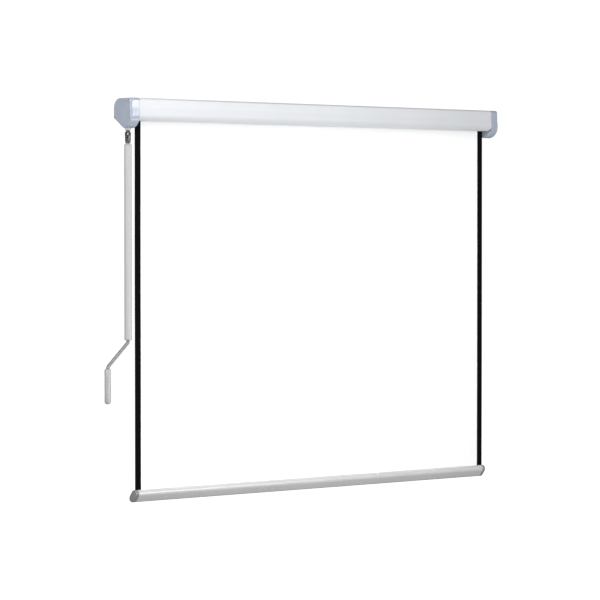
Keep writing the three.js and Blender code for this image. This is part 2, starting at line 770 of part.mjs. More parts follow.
// A fork with its ears apart along X, its bridge above and its socket on top, down to the pin holes.
function fork(socketRadius, socketLength, boreRadius, pinHole) {
  const bridgeTop = forkBridgeReach + forkBridgeThickness;
  const half = forkEarHalfWidth;
  let made = block([-forkEarOuter, -half, forkBridgeReach], [forkEarOuter, half, bridgeTop]);
  for (const side of [-1, 1]) {
    const [from, to] = side > 0 ? [forkEarInner, forkEarOuter] : [-forkEarOuter, -forkEarInner];
    made = made.add(block([from, -half, 0], [to, half, bridgeTop]));
    made = made.add(rod('x', half, from, to, [0, 0], smallSides));
  }
  const earSpan = [-2 * forkEarOuter, 2 * forkEarOuter];
  made = made.subtract(rod('x', jointPinRadius + gap, ...earSpan, [0, 0], smallSides));
  made = made.add(rod('z', socketRadius, bridgeTop - overrun, bridgeTop + socketLength));
  made = made.subtract(rod('z', boreRadius, bridgeTop, bridgeTop + socketLength + overrun));
  const pinZ = bridgeTop + pinHole;
  const socketSpan = [-2 * socketRadius, 2 * socketRadius];
  return made.subtract(rod('x', rollPinRadius + gap / 2, ...socketSpan, [0, pinZ], smallSides));
}

function upperFork() {
  const length = upperSocketLength();
  const made = fork(upperSocketRadius, length, wormJournalRadius + gap, length / 2);
  return piece('upper_fork', made, 'darkSteel');
}

// The lower fork is the same shape upside down and a quarter turn round.
function lowerFork() {
  const made = fork(lowerSocketRadius, lowerSocketLength, rodRadius + gap, lowerSocketLength / 2);
  return piece('lower_fork', made.rotate([180, 0, 90]), 'darkSteel');
}

function rollPin(name, axis, socketRadius, z) {
  return piece(name, rod(axis, rollPinRadius, -socketRadius, socketRadius, [0, z], smallSides), 'zincSteel');
}

function jointBlockPiece() {
  const half = jointBlock / 2;
  let made = block([-half, -half, -half], [half, half, half]);
  for (const axis of ['x', 'y']) {
    made = made.subtract(rod(axis, jointPinRadius + gap, -jointBlock, jointBlock, [0, 0], smallSides));
  }
  return piece('joint_block', made, 'darkSteel');
}

function jointLongPin() {
  const pin = rod('x', jointPinRadius, -forkEarOuter, forkEarOuter, [0, 0], smallSides);
  return piece('joint_long_pin', pin, 'zincSteel');
}

function jointShortPin(name, side) {
  const inner = side * (jointPinRadius + gap);
  const outer = side * forkEarOuter;
  const span = [inner, outer].sort((a, b) => a - b);
  return piece(name, rod('y', jointPinRadius, ...span, [0, 0], smallSides), 'zincSteel');
}

// Crank, modelled about the joint's centre with the handle's offset towards -X

// Height under the joint's centre of a place given as a drop below the end cap.
function belowJoint(drop) {
  return capBottomZ - drop - jointZ;
}

function crankRod() {
  const top = -forkBridgeReach - forkBridgeThickness - gap;
  const bend = belowJoint(sleeveTopDrop) - sleeveLength - gap - rodBendReach;
  const lowBend = belowJoint(gripTopDrop) + gap + rodBendReach;
  const bottom = belowJoint(gripTopDrop) - gripLength - gap - rodEndCapThickness / 2;
  const corners = [[0, bend], [-crankOffset, lowBend]].map(([x, z]) => new THREE.Vector3(x, 0, z));
  const start = new THREE.Vector3(0, 0, bend + rodBendReach);
  const end = new THREE.Vector3(-crankOffset, 0, lowBend - rodBendReach);
  const slant = corners[1].clone().sub(corners[0]).setLength(rodBendReach);
  const path = new THREE.CurvePath();
  path.add(new THREE.QuadraticBezierCurve3(start, corners[0], corners[0].clone().add(slant)));
  path.add(new THREE.LineCurve3(corners[0].clone().add(slant), corners[1].clone().sub(slant)));
  path.add(new THREE.QuadraticBezierCurve3(corners[1].clone().sub(slant), corners[1], end));
  const circle = new THREE.Shape().absarc(0, 0, rodRadius, 0, 2 * Math.PI);
  const bent = new THREE.ExtrudeGeometry(circle, {
    steps: bendSteps,
    extrudePath: path,
    curveSegments: smallSides,
  });
  let made = asSolid(bent);
  made = made.add(rod('z', rodRadius, start.z - overrun / 2, top, [0, 0], smallSides));
  made = made.add(rod('z', rodRadius, bottom, end.z + overrun / 2, [-crankOffset, 0], smallSides));
  const pinZ = -forkBridgeReach - forkBridgeThickness - lowerSocketLength / 2;
  made = made.subtract(rod('y', rollPinRadius + gap / 2, -ringRadius, ringRadius, [0, pinZ], smallSides));
  return piece('crank_rod', made, 'rodPaint');
}

// The ring on the rod that keeps the sleeve from sliding up. The bend of the rod keeps it from sliding down.
function stopRing() {
  const low = belowJoint(sleeveTopDrop) + gap;
  const ring = tube('z', ringRadius, rodRadius + gap, low, low + ringThickness);
  return piece('stop_ring', ring, 'greyTube');
}

function sleeveTube() {
  const top = belowJoint(sleeveTopDrop) - ferruleThickness - gap;
  const bottom = belowJoint(sleeveTopDrop) - sleeveLength + ferruleThickness + gap;
  const made = tube('z', sleeveRadius, sleeveRadius - sleeveWall, bottom, top);
  return piece('upper_grip_tube', made, 'greyTube');
}

// A ferrule with its flange on the tube's end and its spigot inside: up is 1 at the top, -1 at the bottom.
function ferrule(name, faceZ, up) {
  const spigotRadius = sleeveRadius - sleeveWall - gap;
  const inner = rodRadius + gap;
  const flange = [faceZ, faceZ - up * ferruleThickness].sort((a, b) => a - b);
  const whole = [faceZ, faceZ - up * (ferruleThickness + ferruleSpigot)].sort((a, b) => a - b);
  const made = tube('z', sleeveRadius, inner, ...flange).add(tube('z', spigotRadius, inner, ...whole));
  return piece(name, made, 'greyTube');
}

function lowerGrip() {
  const top = belowJoint(gripTopDrop);
  const bottom = top - gripLength;
  const inner = rodRadius + gap;
  const made = turned([
    [inner, bottom],
    [gripRadius - gripEndRound, bottom],
    [gripRadius, bottom + gripEndRound],
    [gripRadius, top - gripEndRound],
    [gripRadius - gripEndRound, top],
    [inner, top],
    [inner, bottom],
  ], [-crankOffset, 0]);
  return piece('lower_grip', made, 'greyTube');
}

function rodEndCap() {
  const top = belowJoint(gripTopDrop) - gripLength - gap;
  const centre = [-crankOffset, 0];
  const made = rod('z', gripRadius - gripEndRound, top - rodEndCapThickness, top, centre);
  const boreLow = top - rodEndCapThickness / 2 - gap;
  const bore = rod('z', rodRadius + gap, boreLow, top + overrun, centre, smallSides);
  return piece('rod_end_cap', made.subtract(bore), 'greyPlastic');
}

// Bottom bar, modelled about the middle of its top edge in the fabric's plane

// The bar's section is a slanted oval: a round upper front and a round lower back joined by flats.
function barOutline(inset) {
  const upper = [barRound - barFrontReach, -barRound];
  const lower = [barDepth - barFrontReach - barRound, barRound - barHeight];
  const lean = Math.atan2(lower[0] - upper[0], upper[1] - lower[1]);
  const shape = new THREE.Shape();
  shape.absarc(...upper, barRound - inset, lean, lean + Math.PI);
  shape.absarc(...lower, barRound - inset, lean + Math.PI, lean + 2 * Math.PI);
  return shape;
}

// The round channel in the bar that holds the keder, with the slot above it.
function kederChannel(from, to) {
  const radius = kederRadius + kederRoom;
  const slot = barSlotWidth / 2;
  const bore = rod('x', radius, from, to, [0, -kederDrop], smallSides);
  return bore.add(block([from, -slot, -kederDrop], [to, slot, barWall]));
}

function bottomBar() {
  const end = barEndX - barCapThickness - gap;
  const wall = kederRadius + kederRoom + barWall;
  let made = alongX(barOutline(0), -end, end);
  made = made.subtract(alongX(barOutline(barWall), -end - overrun, end + overrun));
  const channelWall = rod('x', wall, -end, end, [0, -kederDrop], smallSides);
  made = made.add(channelWall.intersect(alongX(barOutline(barWall / 2), -end, end)));
  return piece('bottom_bar', made.subtract(kederChannel(-end - overrun, end + overrun)), 'whitePaint');
}

function barKeder() {
  const half = fabricWidth / 2;
  return piece('bar_keder', rod('x', kederRadius, -half, half, [0, -kederDrop], smallSides), 'blackPlastic');
}

function barCap(name, side) {
  const inner = barEndX - barCapThickness;
  const inset = barWall + gap;
  const clear = kederRadius + kederRoom + barWall + gap;
  let made = alongX(barOutline(0), inner - 2 * barCapRound, barEndX, barCapRound);
  made = made.subtract(block([0, -barDepth, -2 * barHeight], [inner, barDepth, barHeight]));
  let spigot = alongX(barOutline(inset), inner - barCapSpigot, inner + barCapRound);
  spigot = spigot.subtract(block([0, -barDepth, -kederDrop - clear], [inner, barDepth, barHeight]));
  made = made.add(spigot).subtract(kederChannel(inner - overrun, fabricWidth / 2 + gap));
  return piece(name, side < 0 ? mirroredX(made) : made, 'greyPlastic');
}

// Assembly

function group(place, meshes) {
  const made = new THREE.Group();
  made.position.set(...place);
  made.add(...meshes);
  return made;
}

const portNames = ['upper', 'lower'];
const ends = [{ name: 'left', side: -1 }, { name: 'right', side: 1 }];

const housing = group([0, 0, 0], [
  caseExtrusion(),
  hanger('wall_hanger_left', -hangerSpacing / 2),
  hanger('wall_hanger_right', hangerSpacing / 2),
  ...ends.map(({ name, side }) => endCap(`${name}_end_cap`, side)),
  ...ends.flatMap(({ name, side }) => ports.map((port, i) => (
    capScrew(`${name}_cap_screw_${portNames[i]}`, side, port)
  ))),
  bearingPlate('left_bearing_plate', -1, driveShaftRadius + gap),
  bearingPlate('right_bearing_plate', 1, idlerRadius + gap),
  idlerAxle(),
  gearboxBody(),
  gearboxCover(),
  ...coverScrewPlaces().map((place, i) => coverScrew(`cover_screw_${i + 1}`, place)),
  ...plateScrewPlaces().map((place, i) => plateScrew(`gearbox_screw_${i + 1}`, place)),
  wormBush('worm_bush_top', gearboxTopZ - gap, 1),
  wormBush('worm_bush_bottom', bushFaceZ, -1),
  fabricSheet(),
]);

const roller = group([0, rollerY, rollerZ], [
  rollerTube(),
  drivePlug(),
  idlerPlug(),
  idlerBush(),
  wormWheel(),
  wheelScrew(),
  fabricRoll(),
  ...rivetPlaces().map((place, i) => plugRivet(`plug_rivet_${i + 1}`, place)),
]);

const worm = group([crankX, crankY, rollerZ], [wormShaft(), wormClip()]);

const upperPinZ = forkBridgeReach + forkBridgeThickness + upperSocketLength() / 2;
const lowerPinZ = -forkBridgeReach - forkBridgeThickness - lowerSocketLength / 2;
const joint = group([crankX, crankY, jointZ], [
  upperFork(),
  rollPin('upper_fork_pin', 'x', upperSocketRadius, upperPinZ),
  jointBlockPiece(),
  jointLongPin(),
  jointShortPin('joint_short_pin_front', -1),
  jointShortPin('joint_short_pin_back', 1),
]);

const crank = group([crankX, crankY, jointZ], [
  lowerFork(),
  rollPin('lower_fork_pin', 'y', lowerSocketRadius, lowerPinZ),
  crankRod(),
  stopRing(),
  rodEndCap(),
  sleeveTube(),
  ferrule('ferrule_top', belowJoint(sleeveTopDrop), 1),
  ferrule('ferrule_bottom', belowJoint(sleeveTopDrop) - sleeveLength, -1),
  lowerGrip(),
]);

const bottom = group([0, fabricY, barTopZ], [
  bottomBar(),
  barKeder(),
  ...ends.map(({ name, side }) => barCap(`bar_cap_${name}`, side)),
]);

const screen = new THREE.Group();
screen.add(housing, roller, worm, joint, crank, bottom);

export default screen;
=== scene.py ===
"""The looks of a wall-hung projection screen with its crank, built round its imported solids.

Pieces are drawn in millimetres in the part's own frame and scaled to metres when they are finished.
"""

import json
import math

import bmesh
import bpy
from mathutils import Matrix, Vector


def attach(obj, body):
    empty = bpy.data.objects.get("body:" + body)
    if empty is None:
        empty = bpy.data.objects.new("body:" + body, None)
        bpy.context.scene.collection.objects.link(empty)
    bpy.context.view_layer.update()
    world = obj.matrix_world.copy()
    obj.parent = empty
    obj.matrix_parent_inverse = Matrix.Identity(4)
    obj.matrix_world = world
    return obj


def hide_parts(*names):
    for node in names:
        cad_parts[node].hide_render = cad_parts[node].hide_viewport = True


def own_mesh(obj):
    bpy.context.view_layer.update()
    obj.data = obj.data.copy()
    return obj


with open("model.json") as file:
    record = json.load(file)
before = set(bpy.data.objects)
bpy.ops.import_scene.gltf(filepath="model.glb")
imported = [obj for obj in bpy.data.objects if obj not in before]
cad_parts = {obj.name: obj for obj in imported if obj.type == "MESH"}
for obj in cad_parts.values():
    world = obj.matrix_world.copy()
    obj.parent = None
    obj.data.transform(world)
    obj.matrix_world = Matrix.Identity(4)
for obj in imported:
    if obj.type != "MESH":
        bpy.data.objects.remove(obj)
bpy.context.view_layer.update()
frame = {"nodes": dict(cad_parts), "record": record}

# A millimetre in metres, and how near two corners of a finished piece are merged, in millimetres
MM = 0.001
MERGE = 0.0015

# Sizes of the case and its caps
CASE_TOP = 54
CASE_BOTTOM = -29
CAP_BOTTOM = -56
CASE_FRONT = -104
UPPER_FRONT = -101
BAND_BOTTOM = 19
FLAT_BOTTOM = -18
FOOT_BACK = -54
CASE_FOOT = -5
CAP_FOOT = -8
SLOPE = (FLAT_BOTTOM - CAP_BOTTOM) / -FOOT_BACK
WALL = 1.8
BACK_ROUND = 36
TOP_ROUND = 7
CASE_ROUND = 22.5
FOOT_ROUND = 20
CREASE = 70
CAP_ROUND = 46
CAP_TOP_ROUND = 9
RIM_FRONT = 7
RIM_BACK = 2.2
RIM_BLEND = (15, 90)
CASE_END = 909.7
CAP_INNER = 910
CAP_OUTER = 950
CAP_WALL = 2.5
CAP_EDGE = 0.5
PANEL_INSET = 9
PANEL_DEPTH = 0.7
SLOT_FRONT = -66.15
SLOT_BACK = -54.15
LIP_TOP = -23
LIP = 1.6

# Sizes of the cap screws and the wall hangers
PORTS = {"upper": (-91, 43), "lower": (-8, -17)}
PORT_BORE = 1.9
PORT_WIDE = 3.9
PORT_DEPTH = 1.9
BOSS = 4.2
SCREW_TIP = 896
SCREW_HEAD = 3.6
HANGER_Z = 8
HANGER_X = 600
HANGER_HALF = (30, 8.7)
HANGER_DEPTH = (-4.8, -1.8)
KEYHOLE = 4.4
KEYHOLE_NECK = 2.3

# Sizes of the fabric, roller and bar
FABRIC_HALF = 900
BORDER = 28
FABRIC_Y = -60.15
FABRIC_LOW = -1388.3
THICK = 0.5
WIDE_WAVE = 0.9
SMALL_WAVE = 0.5
AXIS = (-36, 12.5)
WRAP_OUTER = 23.3
WRAP_INNER = 22.95
WRAP_THICK = 0.3
WRAP_TURNS = 1.5
BAR_TOP = -1385
BAR_HEIGHT = 46
BAR_ROUND = 14.5
BAR_LEAN = (-0.5, 12.5)
BAR_END = 907
BAR_CAP = 15
CHANNEL = 4.2
CHANNEL_DOWN = 7
CHANNEL_SLOT = 1.3

# Sizes of the crank
CRANK = (-931, -60)
JOINT_Z = -87
NECK_TOP = -56.3
NECK_BOTTOM = -62
NECK_HOLE = 10.8
EAR_IN = 6.3
EAR_OUT = 9.7
EAR_ROUND = 6
EAR_BORE = 2.3
BRIDGE = 12.5
BRIDGE_TOP = 16.5
CROSS_HALF = 6
PIN = 2.2
ROD = 6.5
ROD_TOP = JOINT_Z - 16.8
BEND_REACH = 7
SLEEVE = 14
SLEEVE_TOP = -116
SLEEVE_LOW = -833
OFFSET = 95
GRIP = 12
GRIP_TOP = -936
GRIP_LOW = -1060

# The camera, the floor and the lamps, in metres, degrees and watts: place, aim, width and height, power
CAMERA_PLACE = (-7.8326, -8.7760, -0.428)
CAMERA_TURN = (90 - 1.329, 0, -41.62)
CAMERA_LENS = 181.8
FLOOR_Z = -1.95
FLOOR_HALF = 30
LAMPS = {
    "front_softbox": ((4.05, -6.36, 0.5), (-0.93, -0.1, 0), (2, 1.8), 165),
    "left_front_softbox": ((-5.5, -1.6, 0.3), (-0.9, -0.1, -0.4), (2, 2), 66),
    "left_side_softbox": ((-5.8, 0.6, 0.6), (-0.9, -0.1, -0.4), (2, 2), 84),
    "low_strip": ((-0.3, -1.7, -1.2), (-0.3, -0.1, 0), (2.6, 0.5), 29),
    "overhead_softbox": ((-1.8, -1.8, 1.6), (-0.5, -0.05, -1.4), (1.2, 1.2), 47.5),
}


# Mesh makers


def verts_of(made):
    """The corners that an operator has just made."""
    return [g for g in made["geom"] if isinstance(g, bmesh.types.BMVert)]


def section(corners, steps=8):
    """A flat face across X from (y, z, radius) corners, each rounded to its radius."""
    bm = bmesh.new()
    verts = [bm.verts.new((0, y, z)) for y, z, radius in corners]
    bm.faces.new(verts)
    flats = [Vector((y, z)) for y, z, radius in corners]
    for i, (y, z, radius) in enumerate(corners):
        if not radius:
            continue
        before = flats[i - 1] - flats[i]
        after = flats[(i + 1) % len(flats)] - flats[i]
        angle = before.angle(after)
        reach = radius / math.tan(angle / 2)
        quarters = (math.pi - angle) / (math.pi / 2)
        count = math.ceil(quarters * steps * min(1, 0.35 + radius / 20))
        bmesh.ops.bevel(
            bm, geom=[verts[i]], offset=reach, offset_type="OFFSET", segments=count,
            profile=0.5, affect="VERTICES", material=-1,
        )
    bmesh.ops.remove_doubles(bm, verts=bm.verts, dist=0.001)
    return bm


def drawn_out(bm, start, end):
    """Draws a flat face across X out to a bar from start to end."""
    bmesh.ops.translate(bm, verts=bm.verts, vec=(start, 0, 0))
    made = bmesh.ops.extrude_face_region(bm, geom=list(bm.faces))
    bmesh.ops.translate(bm, verts=verts_of(made), vec=(end - start, 0, 0))
    bmesh.ops.recalc_face_normals(bm, faces=bm.faces)
    return bm


def turned(points, centre, axis="z", steps=64):
    """Turns a line of (radius, place) points round an axis through centre."""
    bm = bmesh.new()
    line = [bm.verts.new((radius, 0, place)) for radius, place in points]
    edges = [bm.edges.new(pair) for pair in zip(line, line[1:])]
    bmesh.ops.spin(
        bm, geom=line + edges, cent=(0, 0, 0), axis=(0, 0, 1), dvec=(0, 0, 0),
        angle=2 * math.pi, steps=steps, use_merge=True, use_duplicate=False,
    )
    bmesh.ops.remove_doubles(bm, verts=bm.verts, dist=0.001)
    if axis == "x":
        bmesh.ops.rotate(bm, verts=bm.verts, cent=(0, 0, 0), matrix=Matrix.Rotation(math.pi / 2, 3, "Y"))
    if axis == "y":
        bmesh.ops.rotate(bm, verts=bm.verts, cent=(0, 0, 0), matrix=Matrix.Rotation(-math.pi / 2, 3, "X"))
    bmesh.ops.recalc_face_normals(bm, faces=bm.faces)
    bmesh.ops.translate(bm, verts=bm.verts, vec=centre)
    return bm


def rounded_rod(radius, low, high, edge, centre, axis="z", steps=48):
    """A round rod with softened ends."""
    ease = 0.3 * edge
    points = [(0, low), (radius - edge, low), (radius - ease, low + ease), (radius, low + edge)]
    points += [(radius, high - edge), (radius - ease, high - ease), (radius - edge, high), (0, high)]
    return turned(points, centre, axis, steps)


def ring(outer, inner, low, high, edge, centre, axis="z", steps=64):
    """A tube with softened rims."""
    points = [(inner, low), (outer - edge, low), (outer, low + edge), (outer, high - edge)]
    points += [(outer - edge, high), (inner, high), (inner, low)]
    return turned(points, centre, axis, steps)


def block(low, high):
    """A box between two corners."""
    bm = bmesh.new()
    bmesh.ops.create_cube(bm, size=1)
    size = [b - a for a, b in zip(low, high)]
    middle = [(a + b) / 2 for a, b in zip(low, high)]
    bmesh.ops.scale(bm, verts=bm.verts, vec=size)
    bmesh.ops.translate(bm, verts=bm.verts, vec=middle)
    return bm


def end_faces(bm):
    """The faces at the low and the high end of a bar along X."""
    ordered = sorted(bm.faces, key=lambda face: face.calc_center_median().x)
    return ordered[0], ordered[-1]


def bevelled(bm, face, width, steps):
    """Rounds the edges round one face."""
    bmesh.ops.bevel(
        bm, geom=list(face.edges), offset=width, offset_type="OFFSET", segments=steps, profile=0.5,
        affect="EDGES", material=-1,
    )


def as_object(bm, name="scratch"):
    mesh = bpy.data.meshes.new(name)
    bm.to_mesh(mesh)
    bm.free()
    made = bpy.data.objects.new(name, mesh)
    bpy.context.scene.collection.objects.link(made)
    return made


def applied(piece):
    """Makes the modifiers of a piece part of its mesh."""
    depsgraph = bpy.context.evaluated_depsgraph_get()
    mesh = bpy.data.meshes.new_from_object(piece.evaluated_get(depsgraph))
    old = piece.data
    piece.modifiers.clear()
    piece.data = mesh
    bpy.data.meshes.remove(old)
    return piece


def combined(piece, other, operation):
    """Cuts, adds or intersects a piece with another solid, which is then removed."""
    tool = as_object(other) if isinstance(other, bmesh.types.BMesh) else other
    modifier = piece.modifiers.new("combine", "BOOLEAN")
    modifier.operation = operation
    modifier.solver = "EXACT"
    modifier.object = tool
    applied(piece)
    bpy.data.objects.remove(tool)
    return piece


def mirrored(piece):
    """Makes a right-hand piece into its left-hand twin."""
    bm = bmesh.new()
    bm.from_mesh(piece.data)
    bmesh.ops.scale(bm, verts=bm.verts, vec=(-1, 1, 1))
    bmesh.ops.reverse_faces(bm, faces=bm.faces)
    bm.to_mesh(piece.data)
    bm.free()


def softened(piece, width, segments=2, limit=40):
    """Rounds the sharp edges of a piece a little."""
    modifier = piece.modifiers.new("soften", "BEVEL")
    modifier.width = width
    modifier.segments = segments
    modifier.limit_method = "ANGLE"
    modifier.angle_limit = math.radians(limit)
    modifier.harden_normals = False
    modifier.use_clamp_overlap = True
    return applied(piece)


def finished(piece, name, body, material, nodes=(), sharp=32):
    """Names a piece, shades it, scales it to metres, ties it to its body and hides the CAD nodes it stands for.
    """
    if isinstance(piece, bmesh.types.BMesh):
        piece = as_object(piece, name)
    bm = bmesh.new()
    bm.from_mesh(piece.data)
    bmesh.ops.remove_doubles(bm, verts=bm.verts, dist=MERGE)
    for face in bm.faces:
        face.smooth = True
    for edge in bm.edges:
        edge.smooth = len(edge.link_faces) == 2 and edge.calc_face_angle(0) < math.radians(sharp)
    bmesh.ops.scale(bm, verts=bm.verts, vec=(MM, MM, MM))
    bm.to_mesh(piece.data)
    bm.free()
    piece.name = name
    piece.data.name = name
    piece.data.materials.clear()
    piece.data.materials.append(material)
    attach(piece, body)
    if nodes:
        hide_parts(*nodes)
    return piece


# Material makers


class Finish:
    """A node material: a few noises give its colour, roughness and relief."""

    def __init__(self, name, roughness=0.5, metallic=0.0, specular=0.5):
        self.material = bpy.data.materials.new(name)
        self.material.use_nodes = True
        self.tree = self.material.node_tree
        self.shader = self.tree.nodes["Principled BSDF"]
        self.shader.inputs["Roughness"].default_value = roughness
        self.shader.inputs["Metallic"].default_value = metallic
        self.shader.inputs["Specular IOR Level"].default_value = specular
        self.place = self.node("ShaderNodeTexCoord").outputs["Object"]
        self.height = None

    def node(self, kind, **values):
        made = self.tree.nodes.new(kind)
        for key, value in values.items():
            if key in made.inputs:
                made.inputs[key].default_value = value
            else:
                setattr(made, key, value)
        return made

    def link(self, out, into):
        self.tree.links.new(out, into)

    def stretched(self, scale):
        """Places on the piece with each axis scaled, which draws a pattern out along the small ones."""
        mapping = self.node("ShaderNodeMapping")
        mapping.inputs["Scale"].default_value = scale
        self.link(self.place, mapping.inputs["Vector"])
        return mapping.outputs["Vector"]

    def noise(self, scale, detail=4, stretch=None):
        made = self.node("ShaderNodeTexNoise", Scale=scale, Detail=detail)
        self.link(self.stretched(stretch) if stretch else self.place, made.inputs["Vector"])
        return made.outputs["Fac"]

    def spread(self, value, low, high):
        """A value from 0 to 1 as one from low to high."""
        made = self.node("ShaderNodeMapRange")
        made.inputs["From Min"].default_value = 0.25
        made.inputs["From Max"].default_value = 0.75
        made.inputs["To Min"].default_value = low
        made.inputs["To Max"].default_value = high
        self.link(value, made.inputs["Value"])
        return made.outputs["Result"]

    def tones(self, value, dark, light):
        """A colour between dark and light."""
        made = self.node("ShaderNodeMix", data_type="RGBA")
        made.inputs[6].default_value = (*dark, 1)
        made.inputs[7].default_value = (*light, 1)
        self.link(value, made.inputs[0])
        return made.outputs[2]

    def colour(self, out):
        self.link(out, self.shader.inputs["Base Color"])

    def roughness(self, out):
        self.link(out, self.shader.inputs["Roughness"])

    def relief(self, value, depth):
        """Adds a height in metres to the surface."""
        bump = self.node("ShaderNodeBump", Strength=1.0, Distance=depth)
        self.link(value, bump.inputs["Height"])
        if self.height:
            self.link(self.height, bump.inputs["Normal"])
        self.height = bump.outputs["Normal"]
        self.link(self.height, self.shader.inputs["Normal"])


def powder_coat(name, dark, light, smooth, dull):
    """Powder coat: a fine orange peel with faint clouds in its tone."""
    made = Finish(name, roughness=smooth, specular=0.5)
    clouds = made.noise(3, 3)
    made.colour(made.tones(made.spread(clouds, 0, 1), dark, light))
    made.roughness(made.spread(made.noise(40, 4), smooth, dull))
    made.relief(made.noise(420, 3), 0.00003)
    made.relief(made.noise(1700, 2), 0.000006)
    return made.material


def moulded_plastic(name, dark, light, roughness, depth):
    """Moulded plastic with a fine sparked grain and slight tone changes."""
    made = Finish(name, roughness=roughness)
    made.colour(made.tones(made.spread(made.noise(25, 5), 0, 1), dark, light))
    made.roughness(made.spread(made.noise(160, 4), roughness - 0.05, roughness + 0.05))
    made.relief(made.noise(1400, 3), depth)
    return made.material


def screen_cloth():
    """Matt coated cloth with a fine weave, white with a black border at each side."""
    made = Finish("screen_cloth", roughness=0.85, specular=0.02)
    split = made.node("ShaderNodeSeparateXYZ")
    made.link(made.place, split.inputs[0])
    side = made.node("ShaderNodeMath", operation="ABSOLUTE")
    made.link(split.outputs["X"], side.inputs[0])
    edge = made.node("ShaderNodeMapRange")
    border, blur = (FABRIC_HALF - BORDER) * MM, 0.0002
    edge.inputs["From Min"].default_value = border - blur
    edge.inputs["From Max"].default_value = border + blur
    made.link(side.outputs[0], edge.inputs["Value"])
    white = made.tones(made.spread(made.noise(900, 3), 0, 1), (0.93, 0.93, 0.93), (0.96, 0.96, 0.957))
    black = made.tones(made.spread(made.noise(1200, 3), 0, 1), (0.002, 0.002, 0.003), (0.006, 0.006, 0.007))
    both = made.node("ShaderNodeMix", data_type="RGBA")
    made.link(edge.outputs["Result"], both.inputs[0])
    made.link(white, both.inputs[6])
    made.link(black, both.inputs[7])
    made.colour(both.outputs[2])
    for band in ("X", "Z"):
        weave = made.node("ShaderNodeTexWave", bands_direction=band, Scale=560.0, Distortion=0.6, Detail=1.0)
        made.link(made.place, weave.inputs["Vector"])
        made.relief(weave.outputs["Fac"], 0.00002)
    return made.material


def plated_steel(name, dark, light, roughness):
    """Plated steel: blotchy crystal tones and fine drawn lines."""
    made = Finish(name, roughness=roughness, metallic=0.9)
    blotches = made.noise(180, 6)
    made.colour(made.tones(made.spread(blotches, 0, 1), dark, light))
    lines = made.noise(300, 4, stretch=(0.05, 1, 1))
    made.roughness(made.spread(lines, roughness - 0.1, roughness + 0.12))
    made.relief(lines, 0.000012)
    made.relief(blotches, 0.00001)
    return made.material


def cast_metal():
    """Die-cast zinc: a grainy skin with soft flow marks."""
    made = Finish("cast_metal", roughness=0.5, metallic=0.85)
    made.colour(made.tones(made.spread(made.noise(60, 6), 0, 1), (0.33, 0.34, 0.35), (0.46, 0.47, 0.48)))
    made.roughness(made.spread(made.noise(220, 4), 0.42, 0.6))
    made.relief(made.noise(700, 5), 0.00004)
    return made.material


def machined_brass():
    """Brass with the fine rings that a lathe leaves."""
    made = Finish("machined_brass", roughness=0.3, metallic=1.0)
    made.colour(made.tones(made.spread(made.noise(90, 4), 0, 1), (0.52, 0.36, 0.13), (0.66, 0.48, 0.2)))
    rings = made.node(
        "ShaderNodeTexWave", wave_type="RINGS", rings_direction="Z", Scale=900.0, Distortion=1.0,
    )
    made.link(made.place, rings.inputs["Vector"])
    made.roughness(made.spread(rings.outputs["Fac"], 0.22, 0.38))
    made.relief(rings.outputs["Fac"], 0.000006)
    return made.material


def satin_tube(name, dark, light):
    """Light grey tube with faint lengthwise draw lines."""
    made = Finish(name, roughness=0.42, specular=0.45)
    lines = made.noise(260, 4, stretch=(1, 1, 0.02))
    made.colour(made.tones(made.spread(lines, 0, 1), dark, light))
    made.roughness(made.spread(made.noise(90, 4), 0.36, 0.5))
    made.relief(lines, 0.000015)
    made.relief(made.noise(1500, 2), 0.000006)
    return made.material


def painted_rod():
    """Grey paint over drawn steel."""
    made = Finish("painted_rod", roughness=0.36, metallic=0.1)
    made.colour(made.tones(made.spread(made.noise(70, 6), 0, 1), (0.19, 0.193, 0.198), (0.24, 0.243, 0.248)))
    made.roughness(made.spread(made.noise(300, 4), 0.28, 0.46))
    made.relief(made.noise(900, 4), 0.00001)
    return made.material


PAINT = powder_coat("powder_coat", (0.55, 0.565, 0.59), (0.585, 0.60, 0.625), 0.33, 0.41)
BAR_PAINT = powder_coat("bar_coat", (0.54, 0.54, 0.545), (0.58, 0.58, 0.585), 0.22, 0.29)
COLLAR = moulded_plastic("collar_plastic", (0.48, 0.49, 0.53), (0.54, 0.55, 0.59), 0.45, 0.00002)
BAR_PLASTIC = moulded_plastic("bar_end_plastic", (0.21, 0.21, 0.215), (0.25, 0.25, 0.255), 0.5, 0.00002)
CAP_PLASTIC = moulded_plastic("cap_plastic", (0.324, 0.362, 0.431), (0.367, 0.405, 0.482), 0.22, 0.00002)
BLACK_PLASTIC = moulded_plastic("black_plastic", (0.02, 0.02, 0.022), (0.035, 0.035, 0.038), 0.55, 0.00002)
CLOTH = screen_cloth()
ZINC = plated_steel("zinc_plated_steel", (0.52, 0.54, 0.57), (0.66, 0.68, 0.70), 0.35)
DARK_STEEL = plated_steel("dark_plated_steel", (0.065, 0.065, 0.07), (0.115, 0.115, 0.123), 0.42)
CAST = cast_metal()
BRASS = machined_brass()
TUBE = satin_tube("satin_tube", (0.416, 0.419, 0.428), (0.468, 0.473, 0.483))
HANDLE = satin_tube("satin_handle", (0.38, 0.384, 0.392), (0.43, 0.434, 0.442))
ROD_PAINT = painted_rod()
FINISHES = {
    "white_paint": PAINT,
    "grey_plastic": CAP_PLASTIC,
    "white_fabric": CLOTH,
    "zinc_steel": ZINC,
    "dark_steel": DARK_STEEL,
    "cast_zinc": CAST,
    "brass": BRASS,
    "black_plastic": BLACK_PLASTIC,
    "grey_tube": TUBE,
    "rod_paint": ROD_PAINT,
}


# Case and caps


def slope_y(z, inset=0.0):
    """Place in depth where the sloping underside, moved in by inset, has height z."""
    return (z - FLAT_BOTTOM - inset * math.hypot(1, SLOPE)) / SLOPE


